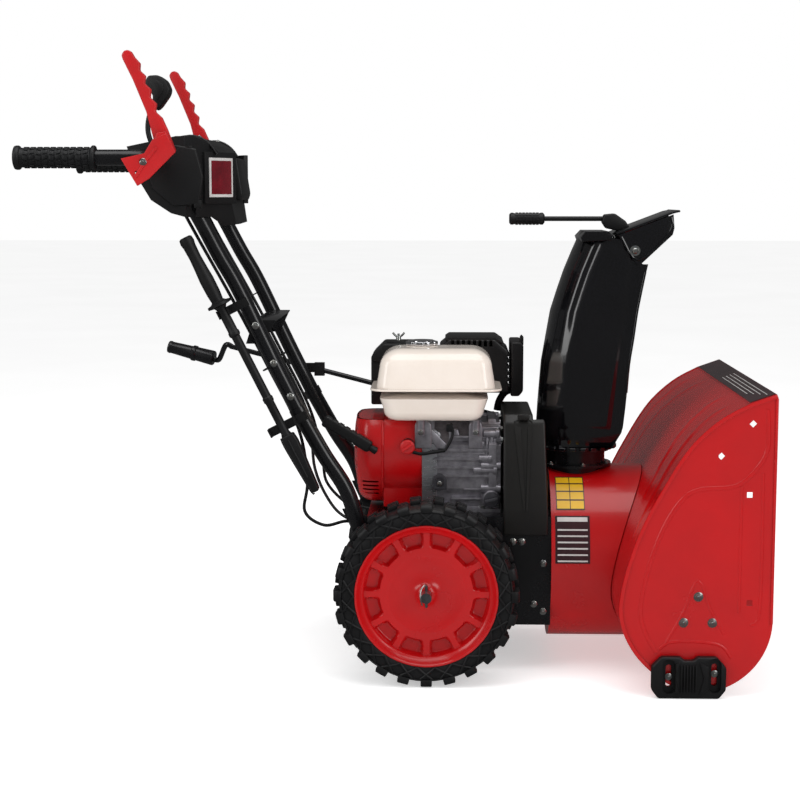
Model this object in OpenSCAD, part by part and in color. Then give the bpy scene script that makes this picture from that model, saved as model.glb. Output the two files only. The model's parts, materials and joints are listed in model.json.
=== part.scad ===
// Two-stage snow blower on two driven wheels, with its engine, belts, drive, chute and handles.
// The origin is on the floor under the middle of the machine: +X forward, +Y the operator's left.
// Inside the modules X is measured from the wheel axle, and from_axle() moves it to the origin.

/* [Wheels] */
// How far the axle stands ahead of the middle of the machine
axle_x = 58; // [50:1:64]
// Outer diameter of the tyres
tyre_d = 330; // [324:1:334]
// Diameter of the wheel axle
axle_d = 19; // [16:0.5:20]
// Distance from the middle to the outer face of each tyre
track = 272; // [268:1:276]

/* [Auger housing] */
// Width of the housing over its side plates
housing_w = 620; // [600:2:640]
// Thickness of the sheet steel
sheet = 3; // [2:0.5:3.5]
// Diameter of the auger
auger_d = 240; // [220:2:244]
// Outer diameter of the impeller drum
drum_d = 326; // [322:1:328]

/* [Drive] */
// Width of the transmission case
case_w = 300; // [296:1:302]
// Module of the axle gear and its pinion
gear_module = 2.5; // [2.5]
// Teeth on the axle gear
gear_teeth = 48; // [48]
// Teeth on the pinion
pinion_teeth = 12; // [12]
// Teeth on the auger's worm wheel
wheel_teeth = 20; // [20]

/* [Chute] */
// Diameter of the chute's notched ring
ring_d = 156; // [154:1:157]
// Notches in the ring
notches = 24; // [24]
// Width of the chute
chute_w = 150; // [140:1:150]

/* [Handles] */
// Outer diameter of the handle tubes
tube_d = 28; // [25:0.5:28]
// Distance from the middle to the lower tubes
tube_y = 154; // [153:1:156]
// Distance from the middle to the hand grips
grip_y = 246; // [244:1:250]
// Width of the dash panel
dash_w = 430; // [420:2:430]

/* [Hidden] */
$fn = 48;

red = "#c01622";
black = "#1c1c1f";
grey_black = "#2e2d2d";
steel = "#b4b7bb";
cast = "#a5a6a8";
cream = "#ece4da";
rubber = "#222224";

// Running clearance on a shaft's radius
fit = 0.05;
half_housing = housing_w / 2;
axle_z = tyre_d / 2;
shaft_r = 12.5;

// Axes that parts share
auger_x = 471;
auger_z = 147;
impeller_z = 197;
crank_z = 394;
shroud_top = 455;
disc_z = 210;
hex_x = 60;
chute_x = 278;
ring_z = 395;
ring_t = 6;
deflector_axis = [377, 767];
lever_axis = [-488, 924];
shift_axis = [-480, 874];
idler_axis = [-94, 272];
switch_axis = [-37, 411];

// Planes of the two belts
drive_belt_x = 150;
auger_belt_x = 178;

// The chute crank's rod: a point beside the ring, and its direction forwards
rod_point = [chute_x, 86.5, ring_z + 9];
rod_way = unit([1, -0.178, -0.235]);
rod_side = unit(cross(rod_way, [0, 0, 1]));
rod_up = cross(rod_side, rod_way);
worm_lead = 20;

// Direction in which the starter grip is pulled, and the direction the cleaning tool lies in
pull_way = [-0.859, 0, 0.512];
tool_way = [0.45, 0, -0.893];
tool_end = [-431, -185, 793];

function unit(v) = v / norm(v);
function left_of(v) = [-v[1], v[0]];
function backwards(p) = [for (i = [len(p) - 1:-1:0]) p[i]];
function held(p, i) = p[max(0, min(len(p) - 1, i))];
function in_xz(p, y) = [p[0], y, p[1]];

// Arc of n steps round a centre
function arc(c, r, a, b, n) = [for (i = [0:n]) c + r * [cos(a + (b - a) * i / n), sin(a + (b - a) * i / n)]];

// Smooth curve through points, with n steps between two of them
function curve_at(a, b, c, d, t) =
    0.5 * (2 * b + (c - a) * t + (2 * a - 5 * b + 4 * c - d) * pow(t, 2) + (3 * b - a - 3 * c + d) * pow(t, 3));
function curve(p, n) = concat(
    [for (i = [0:len(p) - 2], k = [0:n - 1]) curve_at(held(p, i - 1), p[i], p[i + 1], held(p, i + 2), k / n)],
    [p[len(p) - 1]]);

// A line moved sideways by d, to its left
function beside(p, d) = [for (i = [0:len(p) - 1])
    let (a = left_of(unit(p[max(i, 1)] - p[max(i, 1) - 1])),
        b = left_of(unit(held(p, i + 1) - p[min(i, len(p) - 2)])),
        m = unit(a + b))
    p[i] + m * d / (m * a)];

// A counter-clockwise outline made smaller by d
function inset(p, d) = [for (i = [0:len(p) - 1])
    let (n = len(p),
        a = left_of(unit(p[i] - p[(i + n - 1) % n])),
        b = left_of(unit(p[(i + 1) % n] - p[i])),
        m = unit(a + b))
    p[i] + m * d / (m * a)];

// Outline of a gear with straight-sided, thin teeth; the first tooth points along angle a
function gear_outline(teeth, m, a) = let (r = teeth * m / 2, h = 62 / teeth)
    [for (i = [0:teeth - 1], q = [[-1.7, -1.15], [-0.5, 0.85], [0.5, 0.85], [1.7, -1.15]])
        let (w = a + 360 * i / teeth + q[0] * h) (r + q[1] * m) * [cos(w), sin(w)]];

// Outline of a belt round a pulley at height za and a larger one below it at height zb
function belt_line(za, ra, zb, rb) = let (a = asin((rb - ra) / (za - zb)))
    concat(arc([0, za], ra, a, 180 - a, 12), arc([0, zb], rb, 180 - a, 360 + a, 20));

module from_axle() { translate([axle_x, 0, 0]) children(); }
module both_sides() { children(); mirror([0, 1, 0]) children(); }
module right_side() { mirror([0, 1, 0]) children(); }
module block(x, y, z) { translate([x[0], y[0], z[0]]) cube([x[1] - x[0], y[1] - y[0], z[1] - z[0]]); }
module slab_x(x) { translate([x[0], 0, 0]) rotate([90, 0, 90]) linear_extrude(x[1] - x[0]) children(); }
module slab_y(y) { rotate([90, 0, 0]) translate([0, 0, -y[1]]) linear_extrude(y[1] - y[0]) children(); }
module slab_z(z) { translate([0, 0, z[0]]) linear_extrude(z[1] - z[0]) children(); }
module bar_x(x, y, z, r) { translate([x[0], y, z]) rotate([0, 90, 0]) cylinder(h = x[1] - x[0], r = r); }
module bar_y(y, x, z, r) { translate([x, y[0], z]) rotate([-90, 0, 0]) cylinder(h = y[1] - y[0], r = r); }
module bar_z(z, x, y, r) { translate([x, y, z[0]]) cylinder(h = z[1] - z[0], r = r); }
module spun_x(y, z) { translate([0, y, z]) rotate([0, 90, 0]) rotate_extrude() children(); }
module spun_y(x, z) { translate([x, 0, z]) rotate([-90, 0, 0]) rotate_extrude() children(); }

// Things placed along a line that leaves point p in direction v, whose own axis is +Z
module along(p, v) {
    translate(p) rotate([0, acos(v[2]), atan2(v[1], v[0])]) children();
}

// Solid through rings of points that have the same number of points, counter-clockwise seen from the end
module loft(rings) {
    n = len(rings);
    s = len(rings[0]);
    walls = [for (i = [0:n - 2], k = [0:s - 1])
        [i * s + k, (i + 1) * s + k, (i + 1) * s + (k + 1) % s, i * s + (k + 1) % s]];
    first = [for (k = [0:s - 1]) k];
    last = [for (k = [s - 1:-1:0]) (n - 1) * s + k];
    polyhedron([for (r = rings, p = r) p], concat([first], walls, [last]), convexity = 6);
}

// Round tube along a route; u carries the ring's own direction from one point to the next
function carried(t, i, u) = i == len(t) ? [] : let (v = unit(u - t[i] * (u * t[i]))) concat([v], carried(t, i + 1, v));
module tube(route, r, sides) {
    t = [for (i = [0:len(route) - 1]) unit(held(route, i + 1) - held(route, i - 1))];
    u = carried(t, 0, [0.1, 1, 0.2]);
    loft([for (i = [0:len(route) - 1]) [for (k = [0:sides - 1])
        route[i] + r * (cos(360 * k / sides) * u[i] + sin(360 * k / sides) * cross(t[i], u[i]))]]);
}

// Hexagon bolt head on a side face at y, towards +Y, with its washer
module side_bolt(x, z, y, r) {
    bar_y([y, y + 1.5], x, z, r * 1.35);
    slab_y([y + 1.5, y + 7]) translate([x, z]) circle(r = r, $fn = 6);
}

// Pulley with two flanges on a shaft along X
module pulley(x, z, r, bore) {
    spun_x(0, z) polygon([
        [bore, x - 7], [r + 9, x - 7], [r + 9, x - 5], [r, x - 5],
        [r, x + 5], [r + 9, x + 5], [r + 9, x + 7], [bore, x + 7]
    ]);
}

// ---- Auger housing ----

// Back of the housing from its front top lip, down the curved back, to the scraper
back_line = concat([[600, 516], [597, 531]], curve([
    [552, 515], [502, 487], [452, 440], [408, 370], [368, 290], [340, 200], [336, 135], [362, 76], [410, 30], [461, 6]
], 3));
plate_outline = concat(back_line, arc([469, 137], 131, -93, -2, 9));

module housing_shell() {
    edge = half_housing - sheet;
    color(red) from_axle() difference() {
        slab_y([-edge, edge]) polygon(concat(back_line, backwards(beside(back_line, sheet))));
        bar_x([300, 470], 0, impeller_z, drum_d / 2 - sheet);
    }
}

module housing_side() {
    bolt_holes = [[471, 178], [446, 132], [496, 132], [421, 38], [500, 44]];
    square_holes = [[558, 480], [505, 424], [555, 357], [559, 168]];
    difference() {
        slab_y([half_housing - sheet, half_housing]) polygon(plate_outline);
        for (p = bolt_holes) bar_y([half_housing - 5, half_housing + 1], p[0], p[1], 4);
        for (p = square_holes) slab_y([half_housing - 5, half_housing + 1])
            translate(p) rotate(45) square(9, center = true);
    }
}
module housing_side_right() { color(red) from_axle() right_side() housing_side(); }
module housing_side_left() { color(red) from_axle() housing_side(); }

// Wear bar behind the lower edge of the housing's back
module scraper_bar() {
    edge = half_housing - sheet - 0.5;
    color(steel) from_axle() slab_y([-edge, edge]) polygon([[466, 3], [512, 3], [512, 7], [466, 7]]);
}

// Drum welded to the back sheet, open to the front
module impeller_drum() {
    color(red) from_axle() difference() {
        bar_x([226, 430], 0, impeller_z, drum_d / 2);
        bar_x([226 + sheet, 431], 0, impeller_z, drum_d / 2 - sheet);
        slab_y([-200, 200]) polygon(concat(back_line, [[700, 6], [700, 516]]));
        bar_x([225, 230], 0, impeller_z, 30);
        bar_z([330, 400], chute_x, 0, 56);
    }
}

// Neck on top of the drum, with the shelf that the chute ring turns on and the crank's bracket
module chute_collar() {
    color(black) from_axle() difference() {
        union() {
            bar_z([330, ring_z + ring_t + 2], chute_x, 0, 56);
            bar_z([361, 366], chute_x, 0, 68);
            bar_z([ring_z - 5.5, ring_z - 0.5], chute_x, 0, 64);
            slab_z([361, 365]) polygon([[226, 30], [252, 30], [252, 108], [226, 108]]);
            slab_x([232, 236]) polygon([[80, 361], [108, 361], [108, 424], [80, 424]]);
        }
        bar_z([300, 420], chute_x, 0, 52);
        bar_x([200, 400], 0, impeller_z, drum_d / 2 - sheet);
        along(rod_point - 70 * rod_way, rod_way) cylinder(h = 60, r = 5.6);
    }
}

module skid_shoe() {
    outline = [[403, 0], [508, 0], [520, 16], [520, 56], [503, 75], [408, 75], [391, 58], [391, 16]];
    difference() {
        slab_y([half_housing, half_housing + 18]) polygon(outline);
        for (p = [[421, 22, 60], [500, 24, 62]]) {
            block([p[0] - 4.5, p[0] + 4.5], [half_housing - 1, half_housing + 19], [p[1], p[2]]);
            block([p[0] - 9, p[0] + 9], [half_housing + 8, half_housing + 19], [p[1] - 6, p[2] + 6]);
        }
    }
    for (i = [0:5]) block([439 + 8 * i, 443 + 8 * i], [half_housing + 17, half_housing + 20], [14, 62]);
}
module skid_shoe_right() { color(black) from_axle() right_side() skid_shoe(); }
module skid_shoe_left() { color(black) from_axle() skid_shoe(); }

// Bolt heads on the housing, the case, the handles, the collar and the lever pivots
module body_bolts() {
    plate = half_housing;
    case_bolts = [[156, 240], [172, 240], [195, 124], [212, 200], [212, 110], [-84, 120], [60, 112]];
    tube_bolts = [[-277, 567], [-247, 507], [-309, 635]];
    foot_bolts = [[-96, 252], [-72, 240]];
    color(steel) from_axle() {
        both_sides() {
            for (p = [[471, 178], [446, 132], [496, 132]]) side_bolt(p[0], p[1], plate, 6);
            for (p = [[421, 38], [500, 44]]) side_bolt(p[0], p[1], plate + 8, 5.5);
            for (p = case_bolts) side_bolt(p[0], p[1], case_w / 2, 5);
            for (p = tube_bolts) side_bolt(p[0], p[1], tube_y + tube_d / 2, 5.5);
            for (p = foot_bolts) side_bolt(p[0], p[1], case_w / 2 + 4, 5);
            side_bolt(lever_axis[0], lever_axis[1], grip_y + 21.5, 5);
        }
        for (a = [40:60:340]) bar_z([366, 371], chute_x + 62 * cos(a), 62 * sin(a), 4.4);
    }
}

// Bearings of the auger, the impeller, the friction disc, the hexagon shaft and the axle
module shaft_bearings() {
    wall = case_w / 2 - sheet;
    inner = half_housing - sheet;
    color(cast) from_axle() {
        both_sides() {
            spun_y(auger_x, auger_z) polygon([
                [shaft_r + fit, inner - 20], [21, inner - 20], [21, inner - 6], [40, inner - 6],
                [40, inner], [shaft_r + fit, inner]
            ]);
            spun_y(0, axle_z) polygon([
                [axle_d / 2 + fit, wall - 8], [19, wall - 8], [19, wall], [14, wall],
                [14, wall + 6], [axle_d / 2 + fit, wall + 6]
            ]);
            spun_y(hex_x, disc_z) polygon([
                [6 + fit, wall - 8], [14, wall - 8], [14, wall], [9, wall], [9, wall + 2], [6 + fit, wall + 2]
            ]);
        }
        spun_x(0, impeller_z) polygon([
            [shaft_r + fit, 212], [26, 212], [26, 222], [30, 222],
            [30, 229], [44, 229], [44, 233], [shaft_r + fit, 233]
        ]);
        spun_x(0, disc_z) polygon([
            [10 + fit, 129], [24, 129], [24, 132], [17, 132], [17, 139], [10 + fit, 139]
        ]);
    }
}

// Hollow casing round the worm and its wheel, in the middle of the auger
module gearbox_casing() {
    color(cast) from_axle() difference() {
        union() {
            bar_y([-26, 26], auger_x, auger_z, 50);
            bar_x([425, 517], 0, impeller_z, 26);
            bar_y([-40, 40], auger_x, auger_z, 22);
        }
        bar_y([-17, 17], auger_x, auger_z, 44);
        bar_x([440, 505], 0, impeller_z, 19);
        bar_y([-41, 41], auger_x, auger_z, shaft_r + fit);
        bar_x([424, 512], 0, impeller_z, shaft_r + fit);
    }
}

// ---- Transmission case ----

module transmission_case() {
    half = case_w / 2;
    color(black) from_axle() difference() {
        union() {
            difference() {
                block([-110, 225.5], [-half, half], [85, 285]);
                block([-110 + sheet, 225.5 - sheet], [sheet - half, half - sheet], [85 + sheet, 285 - sheet]);
            }
            block([132, 135], [sheet - half, half - sheet], [85 + sheet, 285 - sheet]);
            bar_x([133, 191], idler_axis[0], idler_axis[1], 5);
        }
        block([139, 222], [-118, 118], [280, 290]);
        bar_x([222, 226], 0, impeller_z, 30);
        bar_x([131, 136], 0, disc_z, 17);
        bar_y([-half - 1, half + 1], 0, axle_z, 14);
        bar_y([-half - 1, half + 1], hex_x, disc_z, 9);
    }
}

// Cover over the belts: narrower on the left for the chute's rod, set back in front for the chute
cover_outline = [
    [-156, 252], [156, 252], [156, 300], [94, 400], [92, 455], [80, 470], [-110, 470], [-125, 455], [-156, 300]
];
module belt_cover() {
    wall = 3.5;
    half = case_w / 2 + 0.5;
    color(grey_black) from_axle() difference() {
        union() {
            slab_x([138.5, 192]) polygon(cover_outline);
            slab_x([192, 220]) difference() {
                polygon(cover_outline);
                translate([-118, 356]) square([300, 120]);
            }
        }
        slab_x([142, 188.5]) polygon(inset(cover_outline, wall));
        slab_x([188, 216.5]) difference() {
            polygon(inset(cover_outline, wall));
            translate([-160, 352.5]) square([320, 120]);
        }
        block([138, 221], [-half, half], [240, 285.5]);
        bar_x([138, 143], 0, crank_z, 46);
    }
}

module belts() {
    slack = 0.4;
    thick = 8;
    color(rubber) from_axle() {
        for (b = [[drive_belt_x, 30, disc_z, 50], [auger_belt_x, 34, impeller_z, 75]]) {
            slab_x([b[0] - 4.6, b[0] + 4.6]) difference() {
                polygon(belt_line(crank_z, b[1] + thick, b[2], b[3] + thick));
                polygon(belt_line(crank_z, b[1] + slack, b[2], b[3] + slack));
            }
        }
    }
}

// ---- Engine ----

module engine_block() {
    section = [[-88, 291], [88, 291], [88, 432], [50, 448], [-60, 448], [-105, 410], [-105, 330]];
    cover_bolts = [[-96, 420], [-78, 438], [-104, 372], [-104, 330], [70, 440], [40, 446]];
    color(cast) from_axle() difference() {
        union() {
            slab_x([-10.5, 134]) polygon(section);
            slab_x([112, 126]) polygon(inset(section, -6));
            block([14, 134], [-106, 106], [285.2, 292]);
            for (z = [352:16:400]) block([12, 112], [-110, -104], [z, z + 5]);
            for (p = cover_bolts) bar_x([98, 134], p[0], p[1], 8);
            bar_y([-113, -100], 117, 312, 15);
            for (x = [-10, 76]) block([x, x + 22], [-98, -60], [430, 456.8]);
        }
        bar_x([-11, 139], 0, crank_z, shaft_r + fit);
        bar_y([-114, -104], 117, 312, 9);
    }
}

// Finned cylinder with its head and valve cover, lying to the left
module cylinder_head() {
    color(cast) from_axle() {
        bar_y([88.2, 132], 60, crank_z, 34);
        for (y = [94:8:126]) block([22, 98], [y, y + 3], [356, 432]);
        difference() {
            block([26, 94], [132, 152], [358, 430]);
            bar_y([146, 153], 60, crank_z, 7);
        }
        block([34, 86], [152, 164], [364, 384]);
        block([34, 86], [152, 164], [404, 424]);
    }
}

module fan_housing() {
    color(red) from_axle() difference() {
        slab_x([-83, -11]) union() {
            translate([0, crank_z]) circle(r = 106);
            polygon([[-84, 290], [84, 290], [84, 360], [-84, 360]]);
        }
        difference() {
            bar_x([-84, -15], 0, crank_z, 99);
            block([-85, -14], [-110, 110], [shroud_top - sheet, 510]);
        }
        bar_x([-16, -10], 0, crank_z, 52);
        block([-85, -10], [-110, 110], [shroud_top, 510]);
    }
}

module recoil_cover() {
    color(red) from_axle() difference() {
        spun_x(0, crank_z)
            polygon([[0, -139], [44, -139], [60, -136], [92, -130], [104, -112], [106, -83.2], [0, -83.2]]);
        difference() {
            spun_x(0, crank_z) polygon([[0, -135], [59, -132], [89, -126], [100, -110], [102, -83], [0, -83]]);
            block([-140, -82], [-110, 110], [shroud_top - sheet, 510]);
        }
        block([-140, -82], [-110, 110], [shroud_top, 510]);
        for (a = [0:24:336]) translate([0, 0, crank_z]) rotate([a, 0, 0]) block([-140, -120], [36, 54], [-4, 4]);
        bar_y([-110, -90], -91, 400, 7);
    }
}

// Pressed tank: an upper and a lower half with a flange between them
module fuel_tank() {
    function at_corners(x, y, z) = [for (a = x, b = y) [a, b, z]];
    color(cream) from_axle() {
        hull() {
            for (p = at_corners([-68, 97], [-122, -18], 519)) translate(p) cylinder(h = 2, r = 26, $fn = 32);
            for (p = at_corners([-57, 90], [-112, -28], 567)) translate(p) sphere(r = 24, $fn = 32);
        }
        hull() {
            for (p = at_corners([-66, 88], [-122, -18], 513)) translate(p) cylinder(h = 2, r = 26, $fn = 32);
            for (p = at_corners([-62, 86], [-114, -26], 475)) translate(p) sphere(r = 18, $fn = 32);
        }
        hull() {
            for (p = at_corners([-76, 106], [-122, -18], 514.5)) translate(p) cylinder(h = 4, r = 28, $fn = 32);
        }
        bar_z([580, 592], -12, -60, 24);
    }
}

module intake_box() {
    color(black) from_axle() {
        slab_y([15, 125]) polygon([[-110, 470], [10, 470], [10, 586], [-88, 586], [-110, 562]]);
        bar_z([586, 590], -59, 60, 25);
        bar_z([590, 596], -59, 60, 4);
        block([-71, -47], [58.5, 61.5], [594, 606]);
    }
}

module carburettor() {
    color(cast) from_axle() {
        block([-30, 21.8], [108, 134], [400, 430]);
        bar_z([430, 469.8], -10, 116, 8);
        bar_z([380, 400], -8, 121, 12);
    }
}

// Muffler inside its louvred guard, with the outlet box in front and the exhaust pipe from the head
module muffler() {
    guard = [[20, 492], [154, 492], [154, 572], [128, 596], [36, 596], [20, 580]];
    color(black) from_axle() {
        difference() {
            slab_y([20, 148]) polygon(guard);
            slab_y([23, 145]) polygon(inset(guard, 3));
            for (i = [0:6]) block([44 + 12 * i, 50 + 12 * i], [34, 134], [590, 600]);
        }
        difference() {
            block([154, 180], [24, 144], [486, 590]);
            block([157, 177], [27, 141], [489, 591]);
        }
        bar_z([432, 492], 80, 103, 12);
    }
}

module spark_plug() {
    color(black) from_axle() {
        bar_y([146.2, 176], 60, crank_z, 6.5);
        bar_y([164, 190], 60, crank_z, 10);
        bar_x([60, 84], 182, crank_z, 7);
    }
}

module engine_bolts() {
    color(steel) from_axle() {
        for (p = [[-96, 420], [-78, 438], [70, 440], [40, 446]]) {
            slab_x([134, 138]) translate(p) circle(r = 5.5, $fn = 6);
        }
        for (x = [24, 100], y = [-98, 98]) slab_z([292, 297]) translate([x, y]) circle(r = 6, $fn = 6);
        for (x = [1, 87]) slab_y([-104, -98]) translate([x, 446]) circle(r = 6, $fn = 6);
    }
}

// Pull grip resting beside the recoil cover: a bar that widens from the cord outwards
module starter_grip() {
    color(black) from_axle() along([-93, -117, 400], pull_way) hull() {
        translate([-8, -8, 14]) cube([16, 17, 2]);
        translate([-11, -14, 34]) cube([22, 22, 80]);
    }
}

module crankshaft() {
    color(steel) from_axle() {
        bar_x([-76, 187], 0, crank_z, shaft_r);
        spun_x(0, crank_z) polygon([[shaft_r, -72], [52, -72], [52, -48], [44, -42], [shaft_r, -32]]);
        pulley(drive_belt_x, crank_z, 30, shaft_r);
        pulley(auger_belt_x, crank_z, 34, shaft_r);
    }
}

module fuel_cap() {
    color(steel) from_axle() difference() {
        bar_z([592.3, 602], -12, -60, 30);
        for (a = [0:40:320]) bar_z([592, 603], -12 + 33 * cos(a), -60 + 33 * sin(a), 5);
    }
}

module oil_cap() {
    color("#8d8f92") from_axle() {
        bar_y([-124, -113.3], 117, 312, 14);
        bar_y([-113.3, -105], 117, 312, 8.5);
        block([104, 130], [-131, -124], [309.5, 314.5]);
    }
}

module switch_box() {
    color(black) from_axle() difference() {
        bar_y([-129, -90], switch_axis[0], switch_axis[1], 12);
        bar_x([-60, -10], 0, crank_z, 106.2);
        bar_y([-130, -109.5], switch_axis[0], switch_axis[1], 4.1);
    }
}

// Red knob turned on the switch box
module engine_switch() {
    color(red) from_axle() {
        bar_y([-137, -129.3], switch_axis[0], switch_axis[1], 13);
        block([switch_axis[0] - 3, switch_axis[0] + 3], [-142, -137], [switch_axis[1] - 11, switch_axis[1] + 11]);
        bar_y([-129.3, -110], switch_axis[0], switch_axis[1], 4);
    }
}

// ---- Handles ----

lower_route = [[-126, 268], [-148, 336], [-189, 401], [-233, 479]];
upper_route = [[-233.5, 480], [-277, 567], [-339, 698], [-374, 760], [-412, 832]];
spigot_way = unit([-44, 0, 87]);
tube_wall = 2;

// Lower tubes with spigots that the upper tubes slide over, and the feet bolted to the case
module lower_handles() {
    color(black) from_axle() both_sides() {
        tube(curve([for (p = lower_route) in_xz(p, tube_y)], 3), tube_d / 2, 16);
        along([-233, tube_y, 479], spigot_way) cylinder(h = 110, r = tube_d / 2 - tube_wall - 0.1);
        slab_y([case_w / 2 + 0.1, case_w / 2 + 4]) polygon([[-156, 300], [-138, 300], [-60, 262], [-60, 226], [-122, 226]]);
    }
}

module upper_handle() {
    bend = concat([for (p = upper_route) in_xz(p, tube_y)],
        [[-446, 160, 888], [-474, 178, 922], [-490, 206, 932], [-494, 232, 932], [-506, grip_y, 932]]);
    bore = tube_d / 2 - tube_wall;
    difference() {
        union() {
            tube(curve(bend, 4), tube_d / 2, 16);
            bar_x([-712, -504], grip_y, 932, tube_d / 2);
            bar_y([grip_y, grip_y + 15.4], lever_axis[0] - 6, lever_axis[1] + 4, 10);
            bar_y([grip_y + 10, grip_y + 21.5], lever_axis[0], lever_axis[1], 4);
        }
        tube(curve(bend, 4), bore - 0.5, 16);
        bar_x([-713, -506], grip_y, 932, bore);
        along([-232, tube_y, 477], spigot_way) cylinder(h = 112, r = bore);
    }
}
module upper_handle_right() { color(black) from_axle() right_side() upper_handle(); }
module upper_handle_left() { color(black) from_axle() upper_handle(); }

module handle_brace() {
    inner = tube_y - tube_d / 2 - 0.2;
    color(black) from_axle() {
        block([-316, -276], [-inner, inner], [640, 643]);
        both_sides() slab_y([inner - 3, inner]) polygon([[-330, 600], [-296, 600], [-276, 643], [-316, 643]]);
    }
}

dash_outline = [
    [-352, 817], [-375, 942], [-387, 957], [-410, 970], [-439, 970], [-526, 952],
    [-506, 894], [-485, 859], [-450, 836], [-424, 829], [-389, 829], [-370, 812]
];
// Moulded panel, open below, with the emblem frame in front and a slot for the shift lever
module dash_panel() {
    half = dash_w / 2;
    color(black) from_axle() {
        difference() {
            slab_y([-half, half]) polygon(dash_outline);
            slab_y([4 - half, half - 4]) polygon(inset(dash_outline, 4));
            block([-478, -394], [8 - half, half - 8], [800, 868]);
            block([-530, -502], [-46, 46], [936, 980]);
            both_sides() bar_y([half - 6, half + 1], -490, 932, 17);
        }
        slab_y([-60, 60]) polygon([[-359, 858], [-372, 930], [-366, 934], [-350, 862]]);
        bar_x([-490, -463], 0, shift_axis[1], 4);
        block([-466, -462], [-14, 14], [862, 962]);
    }
}

module hand_grips() {
    bore = tube_d / 2 + 0.1;
    color(rubber) from_axle() for (s = [-1, 1]) spun_x(s * grip_y, 932) polygon([
        [0, -716], [19, -716], [21, -713], [21, -706], [18, -704], [18, -582], [21, -580],
        [21, -574], [bore, -574], [bore, -712.2], [0, -712.2]
    ]);
}

// Sheathed cables that run down inside the tubes to the case
right_cable = [
    [-446, -140, 850], [-415, -132, 790], [-350, -132, 672], [-290, -132, 556], [-236, -132, 444],
    [-220, -138, 350], [-225, -138, 292], [-190, -136, 266], [-150, -128, 272], [-111, -118, 266]
];
left_cable = [
    [-446, 140, 850], [-415, 132, 790], [-350, 132, 672], [-290, 132, 556], [-236, 132, 444],
    [-214, 138, 350], [-205, 136, 300], [-170, 130, 262], [-140, 122, 254], [-111, 112, 250]
];
shift_cable = [
    [-462, 60, 856], [-420, 100, 796], [-362, 124, 680], [-298, 124, 560], [-240, 124, 436],
    [-226, 110, 330], [-190, 84, 262], [-150, 62, 236], [-111, 52, 230]
];
module control_cables() {
    color(rubber) from_axle() for (c = [right_cable, left_cable, shift_cable]) tube(curve(c, 4), 3, 8);
}

// Cradles for the cleaning tool on the right tube, and the crank rod's guide on the left one
module handle_clips() {
    edge = tube_y + tube_d / 2 + 0.2;
    reach = -tool_end[1] - edge;
    color(black) from_axle() {
        for (c = [[150, 8.3, 8.3], [380, 23.5, 3.5]]) along(tool_end + c[0] * tool_way, tool_way) {
            difference() {
                block([-c[1] - 3, c[1] + 3], [-7, reach], [-8, 8]);
                block([-c[1], c[1]], [-8, c[2]], [-9, 9]);
            }
            block([-46, -c[1]], [reach - 4, reach], [-8, 8]);
        }
        difference() {
            union() {
                block([-231, -211], [edge, edge + 16], [509, 535]);
                block([-266, -211], [edge, edge + 3], [516, 535]);
            }
            along(rod_point - 560 * rod_way, rod_way) cylinder(h = 100, r = 5.6);
        }
    }
}

// Moulded lever: a plate outside the tube's bend that carries the finger blade
module clutch_lever() {
    plate = [[-527, 929], [-499, 883], [-478, 896], [-432, 941], [-448, 973], [-472, 962]];
    blade = [
        [-470, 955], [-432, 941], [-448, 980], [-459, 1004], [-472, 1020], [-474, 1042],
        [-489, 1062], [-492, 1086], [-508, 1112], [-518, 1115], [-526, 1106], [-506, 1064], [-484, 1010]
    ];
    difference() {
        slab_y([grip_y + 15.6, grip_y + 21]) polygon(plate);
        bar_y([grip_y + 10, grip_y + 25], lever_axis[0], lever_axis[1], 4 + fit);
    }
    slab_y([grip_y - 7, grip_y + 7]) polygon(backwards(blade));
    slab_y([grip_y, grip_y + 21]) polygon([[-470, 958], [-434, 945], [-448, 976], [-464, 974]]);
}
module auger_lever() { color(red) from_axle() clutch_lever(); }
module drive_lever() { color(red) from_axle() right_side() clutch_lever(); }

module shift_lever() {
    rod = [[-478, 0, 881], [-498, 0, 920], [-516, 0, 955], [-526, 0, 984], [-524, 0, 1012], [-512, 0, 1036]];
    color(black) from_axle() {
        tube(curve(rod, 3), 5, 12);
        difference() {
            bar_x([-484, -470], 0, shift_axis[1], 9);
            bar_x([-485, -469], 0, shift_axis[1], 4 + fit);
        }
        hull() {
            translate([-512, 0, 1034]) cylinder(h = 2, r = 9, $fn = 8);
            translate([-505, 0, 1060]) cylinder(h = 2, r = 20, $fn = 8);
            translate([-501, 0, 1086]) cylinder(h = 4, r = 16, $fn = 8);
        }
    }
}

// ---- Wheels and axle ----

module rim() {
    hub = axle_d / 2;
    y = track - 272;
    difference() {
        spun_y(0, axle_z) translate([0, y]) polygon([
            [hub, 170], [26, 170], [26, 236], [106, 236], [106, 182], [123, 177], [123, 172], [127, 172],
            [127, 180], [112, 186], [112, 258], [127, 264], [127, 272], [122, 272], [119, 266], [108, 261],
            [106, 250], [64, 250], [60, 246], [38, 246], [34, 254], [24, 254], [20, 262], [hub, 262]
        ]);
        for (k = [0:11]) translate([0, 0, axle_z]) rotate([0, 15 + 30 * k, 0])
            translate([0, y + 242, 0]) slab_y([0, 12]) polygon([[85, -12], [105, -17], [105, 17], [85, 12]]);
    }
}
module rim_right() { color(red) from_axle() right_side() rim(); }
module rim_left() { color(red) from_axle() rim(); }

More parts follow.
